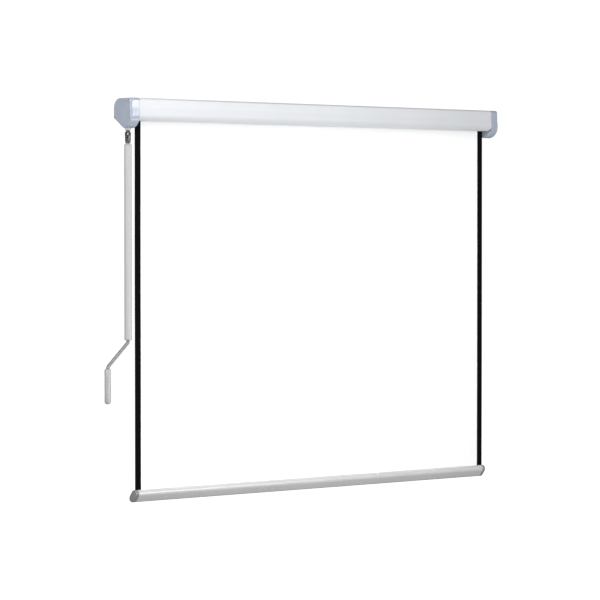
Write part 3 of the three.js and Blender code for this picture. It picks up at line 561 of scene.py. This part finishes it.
def slope_z(y, inset=0.0):
    """Height at depth y of the sloping underside, moved in by inset."""
    return FLAT_BOTTOM + SLOPE * y + inset * math.hypot(1, SLOPE)


def case_corners():
    """Corners of the case's open section: the outer skin, the slot's lips and the inner skin."""
    mouth_low, mouth_high = HANGER_Z - 5, HANGER_Z + 5
    rail_low, rail_high = HANGER_Z - 9, HANGER_Z + 9
    rail_out, rail_in, pocket = -1.5, -5.1, -9.1
    outer = [
        (SLOT_FRONT, CASE_BOTTOM, 0.7),
        (CASE_FRONT, CASE_BOTTOM, CASE_ROUND),
        (CASE_FRONT, CASE_FOOT, FOOT_ROUND),
        (UPPER_FRONT, BAND_BOTTOM, CREASE),
        (UPPER_FRONT, CASE_TOP, TOP_ROUND),
        (0, CASE_TOP, BACK_ROUND),
    ]
    rail = [
        (0, mouth_high, 0.5), (rail_out, mouth_high, 0.3), (rail_out, rail_high, 0.4),
        (rail_in, rail_high, 0.4), (rail_in, mouth_high, 0.4), (pocket, mouth_high, 0.8),
        (pocket, mouth_low, 0.8), (rail_in, mouth_low, 0.4), (rail_in, rail_low, 0.4),
        (rail_out, rail_low, 0.4), (rail_out, mouth_low, 0.3), (0, mouth_low, 0.5),
    ]
    back = [
        (0, FLAT_BOTTOM, 1.5),
        (slope_y(CASE_BOTTOM), CASE_BOTTOM, 2),
        (SLOT_BACK, CASE_BOTTOM, 0.7),
        (SLOT_BACK, LIP_TOP, 0.7),
        (SLOT_BACK + LIP, LIP_TOP, 0.7),
        (SLOT_BACK + LIP, CASE_BOTTOM + WALL, 0.8),
        (slope_y(CASE_BOTTOM + WALL, WALL), CASE_BOTTOM + WALL, 1),
        (-WALL, slope_z(-WALL, WALL), 1),
    ]
    inner_rail = [
        (-WALL, rail_low - WALL, 0.5), (rail_in - WALL, rail_low - WALL, 0.8),
        (rail_in - WALL, mouth_low - WALL, 0.5), (pocket - WALL, mouth_low - WALL, 0.8),
        (pocket - WALL, mouth_high + WALL, 0.8), (rail_in - WALL, mouth_high + WALL, 0.5),
        (rail_in - WALL, rail_high + WALL, 0.8), (-WALL, rail_high + WALL, 0.5),
    ]
    inner = [
        (-WALL, CASE_TOP - WALL, BACK_ROUND - WALL),
        (UPPER_FRONT + WALL, CASE_TOP - WALL, TOP_ROUND - WALL),
        (UPPER_FRONT + WALL, BAND_BOTTOM, CREASE),
        (CASE_FRONT + WALL, CASE_FOOT, FOOT_ROUND),
        (CASE_FRONT + WALL, CASE_BOTTOM + WALL, CASE_ROUND - WALL),
        (SLOT_FRONT - LIP, CASE_BOTTOM + WALL, 0.8),
        (SLOT_FRONT - LIP, LIP_TOP, 0.7),
        (SLOT_FRONT, LIP_TOP, 0.7),
    ]
    return outer + rail + back + inner_rail + inner


def cap_corners(inset=0.0):
    """Corners of an end cap's section, moved in by inset."""
    return [
        (CASE_FRONT + inset, CAP_BOTTOM + inset, CAP_ROUND - inset),
        (CASE_FRONT + inset, CAP_FOOT, FOOT_ROUND),
        (UPPER_FRONT + inset, BAND_BOTTOM, CREASE),
        (UPPER_FRONT + inset, CASE_TOP - inset, CAP_TOP_ROUND - inset * 0.7),
        (-inset, CASE_TOP - inset, BACK_ROUND - inset),
        (-inset, slope_z(-inset, inset), 3.5),
        (slope_y(CAP_BOTTOM + inset, inset), CAP_BOTTOM + inset, 6.5),
    ]


def rolled_rim(bm, face, steps=7):
    """Rolls the outer edge of a cap over: widely along its front, tightly along its back."""
    order = bm.verts.layers.int.new("order")
    loop = [corner.vert for corner in face.loops]
    flats = [Vector((v.co.y, v.co.z)) for v in loop]
    middle = sum(flats, Vector((0, 0))) / len(flats)
    end = loop[0].co.x
    near, far = RIM_BLEND
    moves = []
    for i, flat in enumerate(flats):
        loop[i][order] = i
        along = (flats[(i + 1) % len(flats)] - flat).normalized() + (flat - flats[i - 1]).normalized()
        inward = Vector((-along.y, along.x)).normalized()
        if inward.dot(middle - flat) < 0:
            inward.negate()
        share = min(1, max(0, (-flat.x - near) / (far - near)))
        moves.append((inward, RIM_BACK + (RIM_FRONT - RIM_BACK) * share * share * (3 - 2 * share)))
    for step in range(steps + 1):
        angle = math.pi / 2 * step / steps
        if step:
            made = bmesh.ops.extrude_face_region(bm, geom=[face])
            bmesh.ops.delete(bm, geom=[face], context="FACES_ONLY")
            face = next(g for g in made["geom"] if isinstance(g, bmesh.types.BMFace))
        for vert in face.verts:
            inward, radius = moves[vert[order]]
            place = flats[vert[order]] + inward * radius * (1 - math.cos(angle))
            vert.co = (end - radius * (1 - math.sin(angle)), place.x, place.y)
    return face


def make_case():
    """The case, one extrusion from cap to cap."""
    finished(
        drawn_out(section(case_corners(), 10), -CASE_END, CASE_END),
        "case_profile", "housing", PAINT, ["case_extrusion"], sharp=25,
    )


def cap_shell(side):
    """A cap with a rounded outer rim, a sunk panel and a closed inner face below the case."""
    bm = drawn_out(section(cap_corners(), 14), CAP_INNER, CAP_OUTER)
    inner, outer = end_faces(bm)
    bevelled(bm, inner, CAP_EDGE, 2)
    rolled_rim(bm, outer)
    for x in (CAP_INNER + 1.2, CAP_OUTER - RIM_FRONT - 0.7):
        bmesh.ops.bisect_plane(
            bm, geom=[*bm.verts, *bm.edges, *bm.faces], dist=0.0001, plane_co=(x, 0, 0), plane_no=(1, 0, 0),
        )
    shell = as_object(bm)
    hollow = as_object(drawn_out(section(cap_corners(CAP_WALL), 12), CAP_INNER - 1, CAP_OUTER - CAP_WALL))
    web = block((CAP_INNER - 2, -120, CAP_BOTTOM - 5), (CAP_INNER + CAP_WALL, 10, CASE_BOTTOM - 0.3))
    combined(hollow, web, "DIFFERENCE")
    for y, z in PORTS.values():
        boss = rounded_rod(BOSS, CAP_INNER + CAP_WALL + 0.6, CAP_OUTER, 0.2, (0, y, z), "x", 32)
        combined(hollow, boss, "DIFFERENCE")
    combined(shell, hollow, "DIFFERENCE")
    panel = drawn_out(section(cap_corners(PANEL_INSET), 12), CAP_OUTER - PANEL_DEPTH, CAP_OUTER + 2)
    combined(shell, panel, "DIFFERENCE")
    for y, z in PORTS.values():
        floor = CAP_OUTER - PORT_DEPTH
        points = [(0, CAP_INNER - 1), (PORT_BORE, CAP_INNER - 1), (PORT_BORE, floor)]
        points += [(PORT_WIDE - 0.2, floor), (PORT_WIDE, floor + 0.2), (PORT_WIDE, CAP_OUTER + 2)]
        points.append((0, CAP_OUTER + 2))
        combined(shell, turned(points, (0, y, z), "x", 40), "DIFFERENCE")
    if side < 0:
        centre = (-CRANK[0], CRANK[1], 0)
        combined(shell, rounded_rod(NECK_HOLE, CAP_BOTTOM - 3, CASE_BOTTOM, 0.2, centre, "z", 64), "DIFFERENCE")
        mirrored(shell)
    return shell


def make_caps():
    """The two end caps; the left one has a hole for the gearbox's neck."""
    for name, side in (("left", -1), ("right", 1)):
        finished(
            cap_shell(side), f"{name}_cap_shell", "housing", CAP_PLASTIC,
            [f"{name}_end_cap"], sharp=25,
        )


def cap_screw(side, y, z):
    """A screw with a low domed head and a cross recess."""
    head = CAP_OUTER - 0.3
    seat = head - 1.6
    points = [(0, SCREW_TIP), (1.2, SCREW_TIP), (1.6, SCREW_TIP + 1), (1.6, seat)]
    points += [(SCREW_HEAD - 0.1, seat), (SCREW_HEAD, head - 1.3), (SCREW_HEAD - 0.1, head - 0.7)]
    points += [(2.9, head - 0.25), (1.8, head - 0.05), (0, head)]
    screw = as_object(turned(points, (0, y, z), "x", 40))
    for wide, tall in ((2.2, 0.5), (0.5, 2.2)):
        low = (head - 0.9, y - wide, z - tall)
        combined(screw, block(low, (head + 1, y + wide, z + tall)), "DIFFERENCE")
    if side < 0:
        mirrored(screw)
    return screw


def make_cap_screws():
    """Two screws through each cap."""
    for name, side in (("left", -1), ("right", 1)):
        for port, (y, z) in PORTS.items():
            finished(
                cap_screw(side, y, z), f"{name}_{port}_screw", "housing", ZINC,
                [f"{name}_cap_screw_{port}"],
            )


def make_hangers():
    """The wall hangers: plates with a keyhole that slide in the rail at the back."""
    wide, tall = HANGER_HALF
    back, front = HANGER_DEPTH
    for name, x in (("left", -HANGER_X), ("right", HANGER_X)):
        z = HANGER_Z - 3
        plate = as_object(block((x - wide, back, HANGER_Z - tall), (x + wide, front, HANGER_Z + tall)))
        combined(plate, rounded_rod(KEYHOLE, -8, 2, 0.1, (x, 0, z), "y", 40), "DIFFERENCE")
        top, round_top = z + 7.4, KEYHOLE_NECK - 0.02
        corners = [(-KEYHOLE_NECK, z, 0), (KEYHOLE_NECK, z, 0)]
        corners += [(KEYHOLE_NECK, top, round_top), (-KEYHOLE_NECK, top, round_top)]
        slot = drawn_out(section(corners, 12), -2, 8)
        bmesh.ops.rotate(slot, verts=slot.verts, cent=(0, 0, 0), matrix=Matrix.Rotation(-math.pi / 2, 3, "Z"))
        bmesh.ops.translate(slot, verts=slot.verts, vec=(x, 0, 0))
        combined(plate, slot, "DIFFERENCE")
        softened(plate, 0.35)
        finished(plate, f"{name}_hanger_plate", "housing", ZINC, [f"wall_hanger_{name}"])


def make_neck():
    """The collar round the gearbox's neck, under the left cap, with a lip round the lower bush."""
    points = [(8.8, NECK_BOTTOM - 0.2), (8.8, NECK_BOTTOM - 1.7), (9.1, NECK_BOTTOM - 1.95)]
    points += [(10.2, NECK_BOTTOM - 1.95), (10.9, NECK_BOTTOM - 1.5), (11.3, NECK_BOTTOM - 0.5)]
    points += [(11.3, NECK_TOP - 1), (11.0, NECK_TOP), (10.55, NECK_TOP), (10.55, NECK_BOTTOM - 0.2)]
    points.append(points[0])
    finished(turned(points, (*CRANK, 0)), "neck_collar", "housing", COLLAR)


# Fabric


def make_cloth():
    """The hanging cloth, with faint waves between the case and the bar."""
    bm = bmesh.new()
    bmesh.ops.create_grid(bm, x_segments=60, y_segments=48, size=1)
    bmesh.ops.rotate(bm, verts=bm.verts, cent=(0, 0, 0), matrix=Matrix.Rotation(math.pi / 2, 3, "X"))
    height = AXIS[1] - FABRIC_LOW
    bmesh.ops.scale(bm, verts=bm.verts, vec=(FABRIC_HALF, 1, height / 2))
    bmesh.ops.translate(bm, verts=bm.verts, vec=(0, FABRIC_Y, (AXIS[1] + FABRIC_LOW) / 2))
    for v in bm.verts:
        down = (CASE_BOTTOM - v.co.z) / (CASE_BOTTOM - BAR_TOP)
        if 0 < down < 1:
            fade = math.sin(math.pi * down) ** 2
            wide = WIDE_WAVE * math.sin(v.co.x / 210 + 0.6)
            small = SMALL_WAVE * math.sin(v.co.x / 74 + down * 5)
            v.co.y += fade * (wide + small)
    bmesh.ops.solidify(bm, geom=list(bm.faces), thickness=THICK)
    bmesh.ops.translate(bm, verts=bm.verts, vec=(0, -THICK / 2, 0))
    bmesh.ops.recalc_face_normals(bm, faces=bm.faces)
    sheet = finished(bm, "screen_cloth", "housing", CLOTH, ["fabric_sheet"])
    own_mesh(sheet)


def make_wraps():
    """The last wraps of cloth on the roller, a little tighter with each turn."""
    bm = bmesh.new()
    steps = 108
    line = [bm.verts.new((x, AXIS[0] - WRAP_OUTER, AXIS[1])) for x in (-FABRIC_HALF, FABRIC_HALF)]
    last = [*line, bm.edges.new(line)]
    shrink = (WRAP_INNER / WRAP_OUTER) ** (1 / steps)
    turn = Matrix.Rotation(-WRAP_TURNS * 2 * math.pi / steps, 3, "X")
    for _ in range(steps):
        made = bmesh.ops.extrude_edge_only(bm, edges=[g for g in last if isinstance(g, bmesh.types.BMEdge)])
        last = made["geom"]
        fresh = [g for g in last if isinstance(g, bmesh.types.BMVert)]
        bmesh.ops.rotate(bm, verts=fresh, cent=(0, *AXIS), matrix=turn)
        bmesh.ops.scale(
            bm, verts=fresh, vec=(1, shrink, shrink), space=Matrix.Translation((0, -AXIS[0], -AXIS[1])),
        )
    bmesh.ops.recalc_face_normals(bm, faces=bm.faces)
    bmesh.ops.solidify(bm, geom=list(bm.faces), thickness=WRAP_THICK)
    bmesh.ops.recalc_face_normals(bm, faces=bm.faces)
    wraps = finished(bm, "roller_wraps", "roller", CLOTH, ["fabric_roll"], sharp=50)


# Universal joint


def yoke(socket, length, bore):
    """A fork about the joint's centre: two ears apart along X, a bridge and a socket above."""
    ear, nearly = EAR_ROUND, EAR_ROUND - 0.02
    corners = [(-ear, BRIDGE_TOP, 1.5), (ear, BRIDGE_TOP, 1.5), (ear, -ear, nearly), (-ear, -ear, nearly)]
    made = as_object(drawn_out(section(corners, 12), -EAR_OUT, EAR_OUT))
    mouth = [(-EAR_IN, BRIDGE, 2.2), (EAR_IN, BRIDGE, 2.2), (EAR_IN, -20, 0), (-EAR_IN, -20, 0)]
    gap = drawn_out(section(mouth, 8), -9, 9)
    bmesh.ops.rotate(gap, verts=gap.verts, cent=(0, 0, 0), matrix=Matrix.Rotation(math.pi / 2, 3, "Z"))
    combined(made, gap, "DIFFERENCE")
    combined(made, rounded_rod(EAR_BORE, -20, 20, 0.1, (0, 0, 0), "x", 32), "DIFFERENCE")
    top = BRIDGE_TOP + length
    combined(made, rounded_rod(socket, BRIDGE_TOP - 1.5, top, 0.5, (0, 0, 0), "z", 48), "UNION")
    combined(made, rounded_rod(bore, BRIDGE_TOP, top + 2, 0.1, (0, 0, 0), "z", 40), "DIFFERENCE")
    return softened(made, 0.35)


def shifted(piece, matrix):
    """Moves a piece's mesh."""
    piece.data.transform(matrix)
    return piece


def make_joint():
    """The universal joint: two forks, a cross with three pins, and a roll pin in each fork."""
    place = (*CRANK, JOINT_Z)
    centre = Matrix.Translation(place)
    upper = shifted(yoke(7.4, 6.3, 4.3), centre)
    finished(upper, "upper_yoke", "worm", DARK_STEEL, ["upper_fork"])
    over = Matrix.Rotation(math.pi / 2, 4, "Z") @ Matrix.Rotation(math.pi, 4, "X")
    lower = shifted(yoke(9.6, 8, 6.8), centre @ over)
    finished(lower, "lower_yoke", "crank", DARK_STEEL, ["lower_fork"])
    cross = as_object(block([-CROSS_HALF] * 3, [CROSS_HALF] * 3))
    softened(cross, 1.3, 3)
    for axis in ("x", "y"):
        combined(cross, rounded_rod(2.5, -12, 12, 0.1, (0, 0, 0), axis, 32), "DIFFERENCE")
    finished(shifted(cross, centre), "joint_cross", "cross", DARK_STEEL, ["joint_block"])
    pins = {
        "cross_pin_long": ("x", -EAR_OUT, EAR_OUT, "joint_long_pin"),
        "cross_pin_front": ("y", -EAR_OUT, -2.5, "joint_short_pin_front"),
        "cross_pin_back": ("y", 2.5, EAR_OUT, "joint_short_pin_back"),
    }
    for name, (axis, low, high, node) in pins.items():
        finished(rounded_rod(PIN, low, high, 0.5, place, axis, 32), name, "cross", ZINC, [node])
    rolls = {
        "upper_roll_pin": ("x", 7.4, BRIDGE_TOP + 3.15, "worm", "upper_fork_pin"),
        "lower_roll_pin": ("y", 9.6, -BRIDGE_TOP - 4, "crank", "lower_fork_pin"),
    }
    for name, (axis, reach, z, body, node) in rolls.items():
        at = (*CRANK, JOINT_Z + z)
        finished(rounded_rod(1.3, -reach, reach, 0.3, at, axis, 24), name, body, ZINC, [node])


# Crank


def bent_rod():
    """The rod from the joint down through the sleeve, over two bends and down through the lower grip."""
    bm = bmesh.new()
    bmesh.ops.create_circle(bm, cap_ends=True, radius=ROD, segments=40)
    bmesh.ops.translate(bm, verts=bm.verts, vec=(*CRANK, ROD_TOP))
    reach = BEND_REACH
    upper_corner, lower_corner = SLEEVE_LOW - 0.3 - reach, GRIP_TOP + 0.3 + reach
    lean = math.atan2(OFFSET, upper_corner - lower_corner)
    radius = reach / math.tan(lean / 2)
    slant = math.hypot(OFFSET, upper_corner - lower_corner) - 2 * reach
    front = list(bm.faces)

    def drawn():
        old = list(front)
        made = bmesh.ops.extrude_face_region(bm, geom=old)
        front[:] = [g for g in made["geom"] if isinstance(g, bmesh.types.BMFace)]
        if len(bm.faces) > len(bm.verts) // 2 + 2:
            bmesh.ops.delete(bm, geom=old, context="FACES_ONLY")
        return verts_of(made)

    def onward(vec):
        bmesh.ops.translate(bm, verts=drawn(), vec=vec)

    def bend(centre_x, centre_z, angle, steps=14):
        turn = Matrix.Rotation(angle / steps, 3, "Y")
        for _ in range(steps):
            bmesh.ops.rotate(bm, verts=drawn(), cent=(centre_x, CRANK[1], centre_z), matrix=turn)

    onward((0, 0, upper_corner + reach - ROD_TOP))
    bend(CRANK[0] - radius, upper_corner + reach, lean)
    onward((-slant * math.sin(lean), 0, -slant * math.cos(lean)))
    bend(CRANK[0] - OFFSET + radius, lower_corner - reach, -lean)
    onward((0, 0, GRIP_LOW - 2.3 - (lower_corner - reach)))
    bmesh.ops.recalc_face_normals(bm, faces=bm.faces)
    return bm


def make_crank():
    """The rod, the long sleeve with its two ends and stop ring, and the lower grip with its button."""
    finished(bent_rod(), "crank_bent_rod", "crank", ROD_PAINT, ["crank_rod"])
    centre = (*CRANK, 0)
    inner, spigot = ROD + 0.3, SLEEVE - 3.3
    sleeve = ring(SLEEVE, SLEEVE - 3, SLEEVE_LOW + 4.3, SLEEVE_TOP - 4.3, 0.4, centre)
    finished(sleeve, "long_sleeve", "sleeve", TUBE, ["upper_grip_tube"])
    for name, face, up in (("top", SLEEVE_TOP, 1), ("bottom", SLEEVE_LOW, -1)):
        shoulder, root = face - up * 4, face - up * 16
        points = [(inner, face), (SLEEVE - 1.6, face), (SLEEVE - 0.5, face - up * 0.5)]
        points += [(SLEEVE, face - up * 1.7), (SLEEVE, shoulder), (spigot, shoulder), (spigot, root)]
        made = turned([*points, (inner, root), (inner, face)], centre)
        finished(made, f"sleeve_end_{name}", "sleeve", TUBE, [f"ferrule_{name}"])
    stop = ring(9.5, ROD + 0.2, SLEEVE_TOP + 0.3, SLEEVE_TOP + 3.3, 0.8, centre)
    finished(stop, "sleeve_stop_ring", "crank", TUBE, ["stop_ring"])
    handle = (CRANK[0] - OFFSET, CRANK[1], 0)
    low, high = GRIP_LOW, GRIP_TOP
    rim = [(GRIP - 3, 0), (GRIP - 1.6, 0.4), (GRIP - 0.4, 1.6), (GRIP, 3)]
    points = [(inner, low), *((wide, low + rise) for wide, rise in rim)]
    points += [*((wide, high - rise) for wide, rise in reversed(rim)), (inner, high), (inner, low)]
    finished(turned(points, handle), "lower_handle", "grip", HANDLE, ["lower_grip"])
    points = [(0, low - 4.3), (6, low - 4.2), (8, low - 3.6), (9, low - 2.3), (9, low - 0.3)]
    points += [(6.8, low - 0.3), (6.8, low - 2.2), (0, low - 2.2)]
    button = turned(points, handle)
    finished(button, "rod_end_button", "crank", CAP_PLASTIC, ["rod_end_cap"])


# Bottom bar


def bar_section(inset):
    """The bar's slanted oval: a round upper front and a round lower back, joined by flats."""
    upper = Vector((FABRIC_Y + BAR_LEAN[0], BAR_TOP - BAR_ROUND))
    lower = Vector((FABRIC_Y + BAR_LEAN[1], BAR_TOP - BAR_HEIGHT + BAR_ROUND))
    along = (lower - upper).normalized()
    across = Vector((along.y, -along.x))
    radius = BAR_ROUND - inset
    spots = [
        upper - radius * along + radius * across, upper - radius * along - radius * across,
        lower + radius * along - radius * across, lower + radius * along + radius * across,
    ]
    return section([(spot.x, spot.y, radius - 0.002) for spot in spots], 12)


def channel_tools(low, high, slot_high):
    """What is cut out for the cloth's edge: a round channel and a slot above it, from low to high along X."""
    z = BAR_TOP - CHANNEL_DOWN
    channel = rounded_rod(CHANNEL, low, high, 0.1, (0, FABRIC_Y, z), "x", 32)
    slot = block((low, FABRIC_Y - CHANNEL_SLOT, z), (slot_high, FABRIC_Y + CHANNEL_SLOT, BAR_TOP + 2))
    return channel, slot


def make_bar():
    """The bottom bar, a hollow profile with a channel for the cloth, and its two end caps."""
    end = BAR_END - BAR_CAP - 0.3
    channel_z = BAR_TOP - CHANNEL_DOWN
    bar = as_object(drawn_out(bar_section(0), -end, end))
    hollow = as_object(drawn_out(bar_section(WALL), -end - 1, end + 1))
    boss = rounded_rod(CHANNEL + WALL, -end - 2, end + 2, 0.1, (0, FABRIC_Y, channel_z), "x", 32)
    combined(hollow, boss, "DIFFERENCE")
    combined(bar, hollow, "DIFFERENCE")
    for tool in channel_tools(-end - 2, end + 2, end + 2):
        combined(bar, tool, "DIFFERENCE")
    finished(bar, "bottom_bar_profile", "bar", BAR_PAINT, ["bottom_bar"], sharp=25)
    face = BAR_END - BAR_CAP
    for name, side in (("left", -1), ("right", 1)):
        bm = drawn_out(bar_section(0), face, BAR_END)
        bevelled(bm, end_faces(bm)[1], 2.5, 5)
        cap = as_object(bm)
        spigot = as_object(drawn_out(bar_section(WALL + 0.3), face - 12, face + 1))
        clear = block((0, -200, channel_z - CHANNEL - 2.1), (face + 2, 0, BAR_TOP + 9))
        combined(spigot, clear, "DIFFERENCE")
        combined(cap, spigot, "UNION")
        for tool in channel_tools(face - 1, FABRIC_HALF + 0.3, FABRIC_HALF + 0.35):
            combined(cap, tool, "DIFFERENCE")
        if side < 0:
            mirrored(cap)
        finished(
            cap, f"{name}_bar_end", "bar", BAR_PLASTIC, [f"bar_cap_{name}"], sharp=25,
        )


# Room


def make_floor():
    """A pale floor that the piece itself doesn't mirror."""
    bm = bmesh.new()
    bmesh.ops.create_grid(bm, x_segments=1, y_segments=1, size=FLOOR_HALF)
    bmesh.ops.translate(bm, verts=bm.verts, vec=(0, 0, FLOOR_Z))
    floor = as_object(bm, "floor")
    made = Finish("pale_floor", roughness=0.9, specular=0.1)
    made.shader.inputs["Emission Color"].default_value = (1, 1, 1, 1)
    made.shader.inputs["Emission Strength"].default_value = 0.9
    made.colour(made.tones(made.noise(2), (0.90, 0.90, 0.90), (0.93, 0.93, 0.93)))
    floor.data.materials.append(made.material)
    floor.visible_diffuse = False
    floor.visible_glossy = False


def make_surround():
    """A white backdrop for the camera, and a dimmer sky for the light that falls on the pieces."""
    world = bpy.data.worlds.new("surround")
    bpy.context.scene.world = world
    world.use_nodes = True
    nodes, links = world.node_tree.nodes, world.node_tree.links
    nodes.clear()
    place = nodes.new("ShaderNodeTexCoord")
    split = nodes.new("ShaderNodeSeparateXYZ")
    links.new(place.outputs["Generated"], split.inputs[0])
    rise = nodes.new("ShaderNodeMapRange")
    rise.inputs["From Min"].default_value = -1
    rise.inputs["From Max"].default_value = 0
    rise.inputs["To Min"].default_value = 0.37
    rise.inputs["To Max"].default_value = 0.2
    links.new(split.outputs["Z"], rise.inputs["Value"])
    light = nodes.new("ShaderNodeBackground")
    light.inputs["Color"].default_value = (1, 1, 1, 1)
    links.new(rise.outputs["Result"], light.inputs["Strength"])
    backdrop = nodes.new("ShaderNodeBackground")
    backdrop.inputs["Color"].default_value = (1, 1, 1, 1)
    backdrop.inputs["Strength"].default_value = 1.05
    seen = nodes.new("ShaderNodeLightPath")
    mix = nodes.new("ShaderNodeMixShader")
    links.new(seen.outputs["Is Camera Ray"], mix.inputs[0])
    links.new(light.outputs[0], mix.inputs[1])
    links.new(backdrop.outputs[0], mix.inputs[2])
    out = nodes.new("ShaderNodeOutputWorld")
    links.new(mix.outputs[0], out.inputs["Surface"])


def make_lamps():
    """Soft lamps that the camera doesn't see."""
    for name, (place, aim, size, power) in LAMPS.items():
        lamp = bpy.data.lights.new(name, "AREA")
        lamp.shape = "RECTANGLE"
        lamp.size, lamp.size_y = size
        lamp.energy = power
        made = bpy.data.objects.new(name, lamp)
        made.location = place
        made.rotation_euler = (Vector(aim) - Vector(place)).to_track_quat("-Z", "Y").to_euler()
        made.visible_camera = False
        bpy.context.scene.collection.objects.link(made)


def make_camera():
    """The camera, which frames the piece as the photograph does."""
    camera = bpy.data.cameras.new("camera")
    camera.lens = CAMERA_LENS
    camera.sensor_width = 36
    camera.clip_end = 100
    made = bpy.data.objects.new("camera", camera)
    made.location = CAMERA_PLACE
    made.rotation_euler = [math.radians(angle) for angle in CAMERA_TURN]
    bpy.context.scene.collection.objects.link(made)
    bpy.context.scene.camera = made
    bpy.context.scene.view_settings.view_transform = "Standard"


for node, slot in ((row["node"], row["material_slot"]) for row in frame["record"]["subparts"]):
    mesh = frame["nodes"][node].data
    mesh.materials.clear()
    mesh.materials.append(FINISHES[slot])

make_case()
make_caps()
make_cap_screws()
make_hangers()
make_neck()
make_cloth()
make_wraps()
make_joint()
make_crank()
make_bar()
make_floor()
make_surround()
make_lamps()
make_camera()
